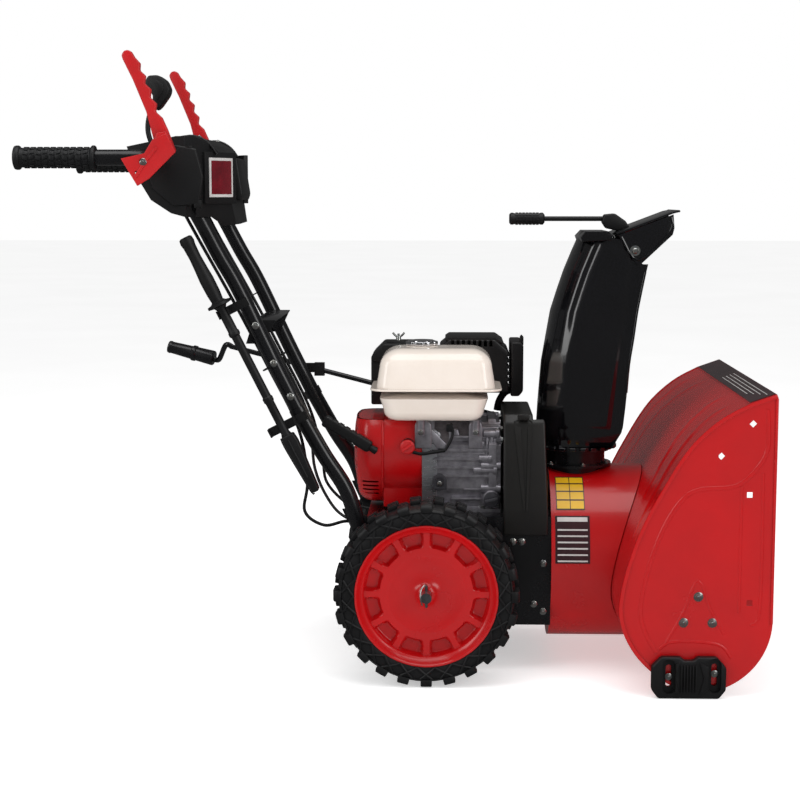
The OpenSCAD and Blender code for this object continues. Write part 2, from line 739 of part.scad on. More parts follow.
// Tyre with staggered tread blocks
module tyre() {
    y = track - 272;
    r = tyre_d / 2;
    difference() {
        spun_y(0, axle_z) translate([0, y]) polygon([
            [112.2, 186.3], [112.2, 257.7], [127.3, 263.7], [127.3, 270], [139, 272.5], [151, 272], [r - 4, 266],
            [r, 256], [r, 188], [r - 4, 178], [151, 172], [139, 171.5], [127.3, 174], [127.3, 180.3]
        ]);
        for (k = [0:19], s = [-1, 1]) translate([0, 0, axle_z]) rotate([0, 18 * k + 9 * s, 0])
            block([r - 7, r + 2], [y + 222 + 26 * s - 28, y + 222 + 26 * s + 28], [-6, 6]);
    }
}
module tyre_right() { color(rubber) from_axle() right_side() tyre(); }
module tyre_left() { color(rubber) from_axle() tyre(); }

mesh_angle = atan2(disc_z - axle_z, hex_x);
// Axle with its large gear and the pins that hold the wheels
module drive_axle() {
    color(steel) from_axle() {
        bar_y([-284, 284], 0, axle_z, axle_d / 2);
        difference() {
            slab_y([112, 124]) translate([0, axle_z]) polygon(gear_outline(gear_teeth, gear_module, mesh_angle));
            for (a = [0:60:300]) bar_y([111, 125], 36 * cos(a), axle_z + 36 * sin(a), 11);
        }
        both_sides() bar_z([axle_z - 19, axle_z + 19], 0, 267, 3);
    }
}

module hex_shaft() {
    color(steel) from_axle() {
        slab_y([-134, 134]) translate([hex_x, disc_z]) circle(r = 8.1, $fn = 6);
        bar_y([-148, 148], hex_x, disc_z, 6);
        slab_y([110, 126]) translate([hex_x, disc_z])
            polygon(gear_outline(pinion_teeth, gear_module, mesh_angle + 180 + 180 / pinion_teeth));
    }
}

module friction_wheel() {
    color(rubber) from_axle() difference() {
        union() {
            bar_y([-12, 12], hex_x, disc_z, 18);
            bar_y([-5, 5], hex_x, disc_z, 54.7);
        }
        slab_y([-13, 13]) translate([hex_x, disc_z]) circle(r = 8.3, $fn = 6);
    }
}

module friction_disc() {
    color(steel) from_axle() {
        bar_x([115, 121], 0, disc_z, 66);
        bar_x([121, 128], 0, disc_z, 20);
        bar_x([128, 160], 0, disc_z, 10);
        pulley(drive_belt_x, disc_z, 50, 10);
    }
}

// ---- Auger and impeller ----

module auger_shaft() {
    color(steel) from_axle() {
        bar_y([-303, 303], auger_x, auger_z, shaft_r);
        slab_y([-9, 9]) translate([auger_x, auger_z]) polygon(gear_outline(wheel_teeth, 3.8, 90));
        both_sides() bar_z([auger_z - 24, auger_z + 24], auger_x, 60, 3.5);
    }
}

// Two ribbons wound round the shaft on arms; the right and left ones are mirror images
module auger_flight() {
    r = auger_d / 2;
    steps = 30;
    translate([auger_x, 0, auger_z]) {
        for (start = [0, 180]) {
            loft([for (i = [0:steps]) let (a = start + 330 * i / steps, y = 50 + 228 * i / steps)
                [for (q = [[r - 40, 4], [r, 4], [r, 0], [r - 40, 0]]) [q[0] * cos(a), y + q[1], -q[0] * sin(a)]]]);
            for (t = [0.06, 0.94]) let (a = start + 330 * t) translate([0, 52 + 228 * t, 0])
                rotate([0, a, 0]) block([14, r - 12], [-3, 3], [-9, 9]);
        }
        difference() {
            bar_y([44, 284], 0, 0, 19);
            bar_y([43, 285], 0, 0, shaft_r + 0.1);
            bar_z([-25, 25], 0, 60, 3.6);
        }
    }
}
module auger_flight_right() { color(red) from_axle() right_side() auger_flight(); }
module auger_flight_left() { color(red) from_axle() auger_flight(); }

worm_pitch = 38 * 2 * PI / wheel_teeth;
// Shaft with the belt pulley behind and the worm in front
module impeller_shaft() {
    turns = 3;
    color(steel) from_axle() {
        bar_x([166, 510], 0, impeller_z, shaft_r - 4.5);
        bar_x([166, 440], 0, impeller_z, shaft_r);
        bar_x([505, 512], 0, impeller_z, shaft_r);
        pulley(auger_belt_x, impeller_z, 75, shaft_r);
        loft([for (i = [0:16 * turns]) let (a = -90 - 22.5 * i, x = auger_x + worm_pitch * (i / 16 - turns / 2))
            [for (q = [[7, -1.6], [14.6, -0.9], [14.6, 0.9], [7, 1.6]])
                [x + q[1], q[0] * cos(a), impeller_z + q[0] * sin(a)]]]);
    }
}

module impeller_fan() {
    color(red) from_axle() difference() {
        union() {
            bar_x([246, 336], 0, impeller_z, 22);
            bar_x([246, 250], 0, impeller_z, 70);
            for (a = [45:90:315]) translate([0, 0, impeller_z]) rotate([a, 0, 0]) {
                block([246, 334], [18, 152], [-2, 2]);
                block([300, 334], [136, 150], [0, 14]);
            }
        }
        bar_x([245, 337], 0, impeller_z, shaft_r);
    }
}

module auger_idler() {
    centre = [-90.5, 335];
    color(steel) from_axle() {
        difference() {
            slab_x([186.5, 190]) hull() {
                translate(idler_axis) circle(r = 11, $fn = 32);
                translate(centre) circle(r = 9, $fn = 32);
            }
            bar_x([186, 191], idler_axis[0], idler_axis[1], 5 + fit);
        }
        bar_x([171.5, 187], centre[0], centre[1], 4);
        bar_x([172, 184], centre[0], centre[1], 18);
    }
}

// ---- Chute ----

// Section of the chute at height z: round behind, straight sides, rounded corners in front
function chute_ring(z, back, front, half, corner, t) = concat(
    [for (p = arc([back + half, 0], half - t, 90, 270, 16)) [p[0], p[1], z]],
    [for (p = arc([front - corner, corner - half], corner - t, 270, 360, 5)) [p[0], p[1], z]],
    [for (p = arc([front - corner, half - corner], corner - t, 0, 90, 5)) [p[0], p[1], z]]);
function chute_rings(t) = let (w = chute_w / 2) [
    chute_ring(ring_z + ring_t + (t > 0 ? -1 : 0), chute_x - 64, chute_x + 64, 64, 64, t),
    chute_ring(420, chute_x - 73, chute_x + 73, 73, 73, t),
    chute_ring(442, 205, 361, w, 56, t),
    chute_ring(480, 207, 365, w, 24, t),
    chute_ring(558, 213, 370, w, 14, t),
    chute_ring(653, 229, 384, w, 12, t),
    chute_ring(728, 253, 399, w, 12, t),
    chute_ring(802 + (t > 0 ? 1 : 0), 284, 414, w, 12, t)
];
module chute_body() {
    w = chute_w / 2;
    thick = 2.5;
    ring_r = ring_d / 2;
    color(black) from_axle() {
        difference() {
            bar_z([ring_z, ring_z + ring_t], chute_x, 0, ring_r);
            bar_z([ring_z - 1, ring_z + ring_t + 1], chute_x, 0, 56.6);
            for (k = [0:notches - 1]) translate([chute_x, 0, 0]) rotate([0, 0, 90 + 360 / notches * k])
                block([ring_r - 10, ring_r + 3], [-6.6, 6.6], [ring_z - 1, ring_z + ring_t + 1]);
        }
        difference() {
            loft(chute_rings(0));
            loft(chute_rings(thick));
            block([340, 430], [4 - w, w - 4], [500, 820]);
            slab_y([-90, 90]) polygon([[270, 803], [346, 790], [384, 784], [403, 744], [440, 744], [440, 830], [270, 830]]);
        }
        difference() {
            slab_y([-w - 1.5, w + 1.5]) polygon([[281, 783], [278, 791], [288, 802], [330, 802], [337, 796], [334, 786]]);
            slab_y([-w, w]) polygon([[283, 778], [283, 790], [290, 799], [329, 799], [332, 778]]);
        }
        both_sides() bar_y([w - 4, w + 9], deflector_axis[0], deflector_axis[1], 5);
    }
}

// Hood that aims the snow, tilting on two bolts
module deflector() {
    outer = chute_w / 2 + 5;
    side = [[344, 796], [383, 739], [450, 800], [450, 834]];
    color(black) from_axle() difference() {
        union() {
            both_sides() slab_y([outer - 2.5, outer]) polygon(side);
            slab_y([-outer, outer]) polygon([[344, 796], [450, 834], [458, 836], [457, 839], [449, 837], [343, 799]]);
        }
        bar_y([-90, 90], deflector_axis[0], deflector_axis[1], 5 + fit);
    }
}

module deflector_handle() {
    color(black) from_axle() {
        bar_x([150, 216], 0, 824, 11);
        bar_x([216, 330], 0, 824, 5);
        slab_y([-13, 13]) polygon([[326, 812], [352, 802.8], [372, 810], [360, 824], [346, 832], [326, 832]]);
    }
}

// Notches and worm turn together: one turn of the crank moves the ring by one notch
module chute_crank() {
    turns = 2;
    length = 711;
    back = rod_point - length * rod_way;
    arm = back + [-38, 36, -28];
    color(black) from_axle() {
        along(back, rod_way) cylinder(h = length + 30, r = 4.8);
        tube(curve([back + 4 * rod_way, back - 10 * rod_way, arm + 10 * rod_way, arm - 4 * rod_way], 4), 5.6, 16);
        along(arm, -1 * rod_way) {
            cylinder(h = 100, r1 = 15, r2 = 12);
            translate([0, 0, 40]) cylinder(h = 8, r = 16);
        }
        along(rod_point - 26 * rod_way, rod_way) cylinder(h = 52, r = 6.8);
        loft([for (i = [0:20 * turns]) let (a = 18 * i - 180 * turns, s = -worm_lead * a / 360)
            [for (q = [[5.9, -2.2], [13.6, -1.5], [13.6, 1.5], [5.9, 2.2]])
                rod_point + (s + q[1]) * rod_way + q[0] * (cos(a) * rod_side + sin(a) * rod_up)]]);
    }
}

// ---- Cleaning tool ----

module cleaning_tool() {
    color(black) from_axle() along(tool_end, tool_way) {
        cylinder(h = 130, r = 13);
        translate([0, 0, 130]) cylinder(h = 6, r = 22);
        translate([0, 0, 136]) cylinder(h = 130, r = 8);
        hull() {
            translate([-8, -5, 258]) cube([16, 8, 4]);
            translate([-22, -5, 300]) cube([44, 8, 170]);
            translate([-15, -5, 508]) cube([30, 4, 3]);
        }
    }
}

housing_shell();
housing_side_right();
housing_side_left();
scraper_bar();
impeller_drum();
chute_collar();
skid_shoe_right();
skid_shoe_left();
body_bolts();
shaft_bearings();
gearbox_casing();
transmission_case();
belt_cover();
belts();
engine_block();
cylinder_head();
fan_housing();
recoil_cover();
fuel_tank();
intake_box();
carburettor();
muffler();
spark_plug();
engine_bolts();
lower_handles();
upper_handle_right();
upper_handle_left();
handle_brace();
dash_panel();
hand_grips();
control_cables();
handle_clips();
drive_axle();
rim_right();
rim_left();
tyre_right();
tyre_left();
hex_shaft();
friction_wheel();
friction_disc();
auger_shaft();
auger_flight_right();
auger_flight_left();
impeller_shaft();
impeller_fan();
crankshaft();
starter_grip();
chute_body();
deflector();
deflector_handle();
chute_crank();
auger_lever();
drive_lever();
shift_lever();
fuel_cap();
oil_cap();
engine_switch();
cleaning_tool();
auger_idler();
switch_box();
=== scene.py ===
import json
import math

import bpy
from mathutils import Matrix, Vector

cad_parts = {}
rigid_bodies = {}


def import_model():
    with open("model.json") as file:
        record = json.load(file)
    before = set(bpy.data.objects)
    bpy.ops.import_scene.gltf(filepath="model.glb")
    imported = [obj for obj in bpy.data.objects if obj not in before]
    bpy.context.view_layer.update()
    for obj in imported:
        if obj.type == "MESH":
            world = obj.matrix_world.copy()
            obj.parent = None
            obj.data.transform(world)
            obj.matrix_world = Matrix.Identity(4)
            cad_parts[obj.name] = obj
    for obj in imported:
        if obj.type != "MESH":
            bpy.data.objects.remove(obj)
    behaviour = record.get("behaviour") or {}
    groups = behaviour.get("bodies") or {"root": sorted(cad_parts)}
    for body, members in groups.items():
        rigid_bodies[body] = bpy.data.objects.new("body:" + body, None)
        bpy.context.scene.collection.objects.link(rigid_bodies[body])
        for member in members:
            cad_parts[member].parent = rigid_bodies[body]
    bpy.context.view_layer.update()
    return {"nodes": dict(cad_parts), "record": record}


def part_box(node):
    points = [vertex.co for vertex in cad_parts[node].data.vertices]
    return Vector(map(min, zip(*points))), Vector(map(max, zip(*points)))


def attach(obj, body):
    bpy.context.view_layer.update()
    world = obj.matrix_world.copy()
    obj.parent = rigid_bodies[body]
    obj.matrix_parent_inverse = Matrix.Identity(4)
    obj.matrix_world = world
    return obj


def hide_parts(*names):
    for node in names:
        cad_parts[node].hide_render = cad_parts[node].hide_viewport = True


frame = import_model()
print("loaded the frame:", len(frame["nodes"]), "nodes")

# Sizes below are millimetres, with X from the wheel axle; row() turns them into metres in the row's frame
tyreLow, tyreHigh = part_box("tyre_right")
axleX = (tyreLow.x + tyreHigh.x) * 500
axleZ = (tyreLow.z + tyreHigh.z) * 500
planeAxes = {"xz": lambda a, b, d: (a, d, b), "yz": lambda a, b, d: (d, a, b),
             "xy": lambda a, b, d: (a, b, d)}
depthWay = {"xz": Vector((0, 1, 0)), "yz": Vector((1, 0, 0)), "xy": Vector((0, 0, 1))}


def row(x, y, z):
    return Vector(((x + axleX) / 1000, y / 1000, z / 1000))


# modelling helpers

def clearAll():
    if bpy.context.object and bpy.context.object.mode != "OBJECT":
        bpy.ops.object.mode_set(mode="OBJECT")
    bpy.ops.object.select_all(action="DESELECT")


def pick(*pieces):
    clearAll()
    for piece in pieces:
        piece.select_set(True)
    bpy.context.view_layer.objects.active = pieces[0]


def tidyMesh(piece, merge=1e-6):
    pick(piece)
    bpy.ops.object.mode_set(mode="EDIT")
    bpy.ops.mesh.select_all(action="SELECT")
    bpy.ops.mesh.remove_doubles(threshold=merge)
    bpy.ops.mesh.dissolve_degenerate(threshold=merge)
    bpy.ops.mesh.normals_make_consistent(inside=False)
    bpy.ops.object.mode_set(mode="OBJECT")
    return piece


def cutOut(name, outline, low, high, plane="xz"):
    # an outline drawn in a plane, then pulled out square to it
    clearAll()
    bpy.ops.mesh.primitive_circle_add(vertices=len(outline), fill_type="NGON")
    piece = bpy.context.object
    piece.name = piece.data.name = name
    for vertex, (a, b) in zip(piece.data.vertices, outline):
        vertex.co = row(*planeAxes[plane](a, b, low))
    bpy.ops.object.mode_set(mode="EDIT")
    bpy.ops.mesh.select_all(action="SELECT")
    pull = depthWay[plane] * (high - low) / 1000
    bpy.ops.mesh.extrude_region_move(TRANSFORM_OT_translate={"value": pull})
    bpy.ops.mesh.select_all(action="SELECT")
    bpy.ops.mesh.normals_make_consistent(inside=False)
    bpy.ops.object.mode_set(mode="OBJECT")
    return piece


def spun(name, profile, centre, axis="y", steps=96):
    # a closed profile of (radius, place along the axis), turned right round
    spots = {"y": lambda r, s: (centre[0] + r, s, centre[1]),
             "x": lambda r, s: (s, centre[0], centre[1] + r),
             "z": lambda r, s: (centre[0] + r, centre[1], s)}
    middle = {"y": (centre[0], 0, centre[1]), "x": (0, centre[0], centre[1]),
              "z": (centre[0], centre[1], 0)}
    ways = {"x": (1, 0, 0), "y": (0, 1, 0), "z": (0, 0, 1)}
    clearAll()
    bpy.ops.mesh.primitive_circle_add(vertices=len(profile), fill_type="NOTHING")
    piece = bpy.context.object
    piece.name = piece.data.name = name
    for vertex, (r, s) in zip(piece.data.vertices, profile):
        vertex.co = row(*spots[axis](r, s))
    bpy.ops.object.mode_set(mode="EDIT")
    bpy.ops.mesh.select_all(action="SELECT")
    bpy.ops.mesh.spin(steps=steps, angle=math.tau, center=row(*middle[axis]), axis=ways[axis])
    bpy.ops.object.mode_set(mode="OBJECT")
    return tidyMesh(piece)


def smoothLine(points, steps=6):
    line = [Vector(p) for p in points]
    ends = [line[0]] + line + [line[-1]]
    made = []
    for a, b, c, d in zip(ends, ends[1:], ends[2:], ends[3:]):
        for k in range(steps):
            t = k / steps
            made.append(0.5 * (2 * b + (c - a) * t + (2 * a - 5 * b + 4 * c - d) * t ** 2
                               + (3 * b - a - 3 * c + d) * t ** 3))
    return made + [line[-1]]


def rod(name, points, radius, steps=6, sides=6, cyclic=False):
    # round bar or tube bent along a line of points
    clearAll()
    curve = bpy.data.curves.new(name, "CURVE")
    curve.dimensions = "3D"
    line = smoothLine(points, steps) if steps else [Vector(p) for p in points]
    spline = curve.splines.new("POLY")
    spline.points.add(len(line) - 1)
    for point, place in zip(spline.points, line):
        point.co = (*row(*place), 1)
    spline.use_cyclic_u = cyclic
    curve.bevel_depth = radius / 1000
    curve.bevel_resolution = sides
    curve.use_fill_caps = True
    piece = bpy.data.objects.new(name, curve)
    bpy.context.scene.collection.objects.link(piece)
    pick(piece)
    bpy.ops.object.convert(target="MESH")
    return tidyMesh(bpy.context.object)


def useModifier(piece, kind, settings):
    pick(piece)
    modifier = piece.modifiers.new(kind, kind)
    for name, value in settings.items():
        setattr(modifier, name, value)
    bpy.ops.object.modifier_apply(modifier=modifier.name)
    return piece


def roundEdges(piece, width, segments=2, angle=30):
    return useModifier(piece, "BEVEL", {"width": width / 1000, "segments": segments,
                                        "limit_method": "ANGLE",
                                        "angle_limit": math.radians(angle),
                                        "harden_normals": False})


def carve(piece, *cutters):
    cutter = join(cutters)
    useModifier(piece, "BOOLEAN", {"operation": "DIFFERENCE", "object": cutter, "solver": "EXACT",
                                   "use_self": True})
    bpy.data.objects.remove(cutter)
    return piece


def join(pieces, name=None):
    pieces = list(pieces)
    if len(pieces) > 1:
        pick(*pieces)
        bpy.ops.object.join()
    if name:
        pieces[0].name = pieces[0].data.name = name
    return pieces[0]


def copied(piece, matrix, name=None):
    twin = piece.copy()
    twin.data = piece.data.copy()
    bpy.context.scene.collection.objects.link(twin)
    twin.data.transform(matrix)
    if matrix.determinant() < 0:
        twin.data.flip_normals()
    twin.name = twin.data.name = name or piece.name + "_copy"
    return twin


def turnedAbout(centre, axis, degrees):
    place = Matrix.Translation(row(*centre))
    return place @ Matrix.Rotation(math.radians(degrees), 4, axis) @ place.inverted()


acrossMiddle = Matrix.Scale(-1, 4, Vector((0, 1, 0)))


def allRound(piece, centre, axis, count, name=None):
    return join([piece] + [copied(piece, turnedAbout(centre, axis, 360 * k / count))
                           for k in range(1, count)], name)


def fit(piece, material, body="chassis", replaces=(), angle=35):
    # last step for every new piece: finish, smooth shading, the body it rides on
    piece.data.materials.clear()
    piece.data.materials.append(material)
    pick(piece)
    bpy.ops.object.shade_smooth_by_angle(angle=math.radians(angle))
    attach(piece, body)
    if replaces:
        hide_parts(*replaces)
    return piece


def box3(name, x, y, z, edge=0.0, segments=2):
    piece = cutOut(name, [(x[0], z[0]), (x[1], z[0]), (x[1], z[1]), (x[0], z[1])], y[0], y[1])
    return roundEdges(piece, edge, segments) if edge else piece


def arcPoints(centre, radius, start, end, count):
    return [(centre[0] + radius * math.cos(math.radians(start + (end - start) * k / count)),
             centre[1] + radius * math.sin(math.radians(start + (end - start) * k / count)))
            for k in range(count + 1)]


# finishes

def linearColour(hexText):
    parts = [int(hexText[k:k + 2], 16) / 255 for k in (0, 2, 4)]
    return [c / 12.92 if c <= 0.04045 else ((c + 0.055) / 1.055) ** 2.4 for c in parts] + [1]


def addNode(tree, kind, settings=None, links=None):
    node = tree.nodes.new(kind)
    for name, value in (settings or {}).items():
        if isinstance(name, int) or name in node.inputs:
            node.inputs[name].default_value = value
        else:
            setattr(node, name, value)
    for name, source in (links or {}).items():
        tree.links.new(source, node.inputs[name])
    return node


def makeFinish(name, look):
    # colour drifts between two shades, roughness drifts with it, and a fine grain stands up as bump
    material = bpy.data.materials.new(name)
    material.use_nodes = True
    tree = material.node_tree
    shader = tree.nodes["Principled BSDF"]
    for socket, value in look.get("shader", {}).items():
        shader.inputs[socket].default_value = value
    place = addNode(tree, "ShaderNodeTexCoord").outputs["Object"]
    streaks = addNode(tree, "ShaderNodeMapping", {"Scale": look.get("stretch", (1, 1, 1))},
                      {"Vector": place})
    drift = addNode(tree, "ShaderNodeTexNoise", {"Scale": 1000 / look["driftMm"], "Detail": 5.0,
                                                 "Roughness": 0.6},
                    {"Vector": streaks.outputs[0]})
    blend = addNode(tree, "ShaderNodeMapRange", {"From Min": 0.32, "From Max": 0.68},
                    {"Value": drift.outputs["Fac"]})
    tint = addNode(tree, "ShaderNodeMix", {"data_type": "RGBA", 6: linearColour(look["colour"]),
                                           7: linearColour(look["shade"])}, {0: blend.outputs[0]})
    tree.links.new(tint.outputs[2], shader.inputs["Base Color"])
    shine = addNode(tree, "ShaderNodeMapRange", {"To Min": look["roughness"][0],
                                                 "To Max": look["roughness"][1]},
                    {"Value": drift.outputs["Fac"]})
    tree.links.new(shine.outputs[0], shader.inputs["Roughness"])
    if look.get("grain") == "cells":
        grain = addNode(tree, "ShaderNodeTexVoronoi", {"Scale": 1000 / look["grainMm"]},
                        {"Vector": place})
        height = grain.outputs["Distance"]
    else:
        grain = addNode(tree, "ShaderNodeTexNoise", {"Scale": 1000 / look["grainMm"],
                                                     "Detail": 3.0},
                        {"Vector": streaks.outputs[0]})
        height = grain.outputs["Fac"]
    bump = addNode(tree, "ShaderNodeBump", {"Strength": look.get("strength", 0.4),
                                            "Distance": look["depthMm"] / 1000},
                   {"Height": height})
    tree.links.new(bump.outputs[0], shader.inputs["Normal"])
    return material


finishes = {
    # powder-coated sheet steel: deep gloss red with a faint orange peel
    "redPowderCoat": {"colour": "b80a0f", "shade": "a8070b", "driftMm": 180,
                      "roughness": (0.2, 0.32), "grainMm": 2.4,
                      "depthMm": 0.05, "strength": 0.25,
                      "shader": {"Coat Weight": 0.3, "Coat Roughness": 0.06}},
    # injection moulded glossy polypropylene for the levers and the knob
    "redMouldedPlastic": {"colour": "b90c12", "shade": "a8090e", "driftMm": 60,
                          "roughness": (0.3, 0.42),
                          "grainMm": 0.9, "depthMm": 0.03},
    # powder-coated steel tube, near black with soft reflections
    "blackPowderCoat": {"colour": "0f0f12", "shade": "09090b", "driftMm": 120,
                        "roughness": (0.22, 0.34),
                        "grainMm": 1.8, "depthMm": 0.05, "strength": 0.3,
                        "shader": {"Coat Weight": 0.3}},
    # grained ABS moulding, matt, with the leather-like grain of its tool
    "blackGrainedAbs": {"colour": "121214", "shade": "0c0c0d", "driftMm": 90,
                        "roughness": (0.42, 0.58),
                        "grain": "cells", "grainMm": 1.3, "depthMm": 0.12, "strength": 0.5},
    # glossy black painted pressing, mirror-like along its folds
    "blackGlossEnamel": {"colour": "060608", "shade": "0a0a0d", "driftMm": 160,
                         "roughness": (0.1, 0.2),
                         "grainMm": 5.0, "depthMm": 0.06, "strength": 0.25,
                         "shader": {"Coat Weight": 0.8}},
    # warm grey-black belt cover in fine grained polypropylene
    "greyBlackPolypropylene": {"colour": "1a1917", "shade": "141312", "driftMm": 70,
                               "roughness": (0.34, 0.5),
                               "grain": "cells", "grainMm": 0.9, "depthMm": 0.06},
    # stoved cream enamel on the pressed steel tank
    "creamEnamel": {"colour": "e8ded5", "shade": "dfd3c8", "driftMm": 140,
                    "roughness": (0.14, 0.24),
                    "grainMm": 4.0, "depthMm": 0.04, "strength": 0.2,
                    "shader": {"Coat Weight": 0.6}},
    # die-cast aluminium: pale grey, slightly mottled with a sandy skin
    "castAluminium": {"colour": "b9b6bd", "shade": "8e8b92", "driftMm": 14,
                      "roughness": (0.32, 0.5), "grainMm": 1.0,
                      "depthMm": 0.15, "strength": 0.6, "shader": {"Metallic": 0.85}},
    # rolled aluminium side plate, brighter and flatter than the casting
    "rolledAluminium": {"colour": "d2d3d8", "shade": "bcbec4", "driftMm": 40, "stretch": (1, 1, 12),
                        "roughness": (0.22, 0.34), "grainMm": 1.2, "depthMm": 0.03,
                        "shader": {"Metallic": 0.9}},
    # zinc-plated fasteners with the slight blue and yellow of passivation
    "zincPlate": {"colour": "d4d3ca", "shade": "aeb4b8", "driftMm": 7, "roughness": (0.2, 0.36),
                  "grainMm": 0.8,
                  "depthMm": 0.03, "shader": {"Metallic": 1.0}},
    # ground and oiled shafting
    "turnedSteel": {"colour": "b3b4b8", "shade": "85868a", "driftMm": 20, "stretch": (1, 14, 1),
                    "roughness": (0.22, 0.4), "grainMm": 1.0, "depthMm": 0.03,
                    "shader": {"Metallic": 1.0}},
    # bright nickel-chrome of the filler cap
    "brightChrome": {"colour": "e3e2e4", "shade": "cfd0d4", "driftMm": 30,
                     "roughness": (0.06, 0.12), "grainMm": 3.0,
                     "depthMm": 0.01, "shader": {"Metallic": 1.0}},
    # carbon-black tyre compound, dusty where it dried after moulding
    "tyreCompound": {"colour": "0c0c0e", "shade": "141416", "driftMm": 35, "roughness": (0.4, 0.62),
                     "grainMm": 1.4,
                     "depthMm": 0.12, "strength": 0.5},
    # soft thermoplastic rubber of grips and cable sheaths
    "softRubber": {"colour": "101114", "shade": "0b0c0e", "driftMm": 40, "roughness": (0.45, 0.6),
                   "grainMm": 0.8,
                   "depthMm": 0.08},
    # cord-reinforced belt rubber
    "beltRubber": {"colour": "121110", "shade": "1b1a18", "driftMm": 20, "roughness": (0.55, 0.7),
                   "grainMm": 1.2,
                   "depthMm": 0.15, "strength": 0.6},
    # heat-proof satin black on the exhaust
    "heatProofBlack": {"colour": "0b0a0c", "shade": "141112", "driftMm": 50,
                       "roughness": (0.32, 0.5), "grainMm": 1.6,
                       "depthMm": 0.08, "strength": 0.5},
    # grey painted cover plates and small engine parts
    "greyPaint": {"colour": "38373c", "shade": "2c2b30", "driftMm": 30, "roughness": (0.35, 0.5),
                  "grainMm": 1.0,
                  "depthMm": 0.06},
    # printed vinyl film in plain generic colours
    "darkFilm": {"colour": "3a2024", "shade": "2c1a1e", "driftMm": 80, "roughness": (0.2, 0.3),
                 "grainMm": 2.0,
                 "depthMm": 0.02},
    "yellowFilm": {"colour": "e2b416", "shade": "d3a20e", "driftMm": 60, "roughness": (0.25, 0.35),
                   "grainMm": 2.0,
                   "depthMm": 0.02},
    "paleFilm": {"colour": "c9c6c4", "shade": "b5b2b0", "driftMm": 60, "roughness": (0.25, 0.35),
                 "grainMm": 2.0,
                 "depthMm": 0.02},
    "wineFilm": {"colour": "6d0f1c", "shade": "560b16", "driftMm": 40, "roughness": (0.2, 0.3),
                 "grainMm": 2.0,
                 "depthMm": 0.02},
}
stock = {name: makeFinish(name, look) for name, look in finishes.items()}

# every CAD node gets the finish of its record slot, whether a later piece stands for it or not
slotFinish = {
    "red_steel": "redPowderCoat", "black_steel": "blackPowderCoat",
              "black_plastic": "blackGrainedAbs",
    "gloss_black_plastic": "blackGlossEnamel", "red_plastic": "redMouldedPlastic",
              "cream_enamel": "creamEnamel",
    "cast_aluminium": "castAluminium", "zinc_steel": "zincPlate", "machined_steel": "turnedSteel",
    "chromed_steel": "brightChrome", "grip_rubber": "softRubber", "belt_rubber": "beltRubber",
    "tyre_rubber": "tyreCompound", "muffler_black": "heatProofBlack",
}
for part in frame["record"]["subparts"]:
    node = frame["nodes"][part["node"]]
    node.data.materials.clear()
    node.data.materials.append(stock[slotFinish[part["material_slot"]]])
frame["nodes"]["belt_cover"].data.materials[0] = stock["greyBlackPolypropylene"]
print("finishes made:", len(stock))

# camera, light and floor

view = {"place": (40.3, -3158.7, 865.6), "yaw": 0.030, "down": 0.121, "lens": 75.4}
bpy.ops.object.camera_add(location=row(*view["place"]))
camera = bpy.context.object
camera.data.lens = view["lens"]
camera.data.clip_end = 100
ahead = Vector((-math.sin(view["yaw"]) * math.cos(view["down"]),
                math.cos(view["yaw"]) * math.cos(view["down"]),
                -math.sin(view["down"])))
camera.rotation_euler = ahead.to_track_quat("-Z", "Y").to_euler()
bpy.context.scene.camera = camera

lights = {
    "lampAbove": {"place": (0.2, -0.6, 3.2), "aim": (0, 0, 0.3), "size": (3.4, 2.2), "power": 46},
    "lampFront": {"place": (2.6, -2.6, 1.9), "aim": (0.1, 0, 0.4), "size": (1.4, 2.2), "power": 30},
    "lampBehind": {"place": (-2.8, -1.8, 1.9), "aim": (0, 0, 0.6), "size": (1.2, 2.4), "power": 26},
    "lampNear": {"place": (0.5, -4.2, 1.3), "aim": (0, 0, 0.4), "size": (2.6, 1.6), "power": 16},
}
for name, lamp in lights.items():
    bpy.ops.object.light_add(type="AREA", location=lamp["place"])
    light = bpy.context.object
    light.name = name
    light.data.shape = "RECTANGLE"
    light.data.size, light.data.size_y = lamp["size"]
    light.data.energy = lamp["power"]
    light.visible_glossy = name != "lampNear"
    light.rotation_euler = (Vector(lamp["aim"]) - Vector(lamp["place"])).to_track_quat("-Z",
            "Y").to_euler()
world = bpy.data.worlds.new("paleStudio")
bpy.context.scene.world = world
world.use_nodes = True
sky = world.node_tree
sky.nodes["Background"].inputs["Color"].default_value = (1, 1, 1, 1)
# the backdrop stays white in view, lights the part softly, and is darker still in its reflections
seen = addNode(sky, "ShaderNodeLightPath")
glow = addNode(sky, "ShaderNodeMapRange", {"To Min": 0.5, "To Max": 0.1},
               {"Value": seen.outputs["Is Glossy Ray"]})
glare = addNode(sky, "ShaderNodeMath", {"operation": "MAXIMUM"},
                {0: glow.outputs[0], 1: seen.outputs["Is Camera Ray"]})
sky.links.new(glare.outputs[0], sky.nodes["Background"].inputs["Strength"])
bpy.context.scene.view_settings.view_transform = "Standard"

clearAll()
bpy.ops.mesh.primitive_plane_add(size=60)
floor = bpy.context.object
floor.name = "floor"
floor.data.materials.append(makeFinish("paleFloor", {
    "colour": "fbfbfb", "shade": "f5f5f5", "driftMm": 900, "roughness": (0.85, 0.95), "grainMm": 40,
                                                     "depthMm": 0.01,
    "shader": {"Specular IOR Level": 0.0, "Emission Color": (1, 1, 1, 1),
               "Emission Strength": 0.46}}))
floor.visible_glossy = False
print("camera and lights set")

# wheels

wheel = {"centre": (0, axleZ), "outer": 272, "knobs": 24, "pockets": 12, "ribs": 26}


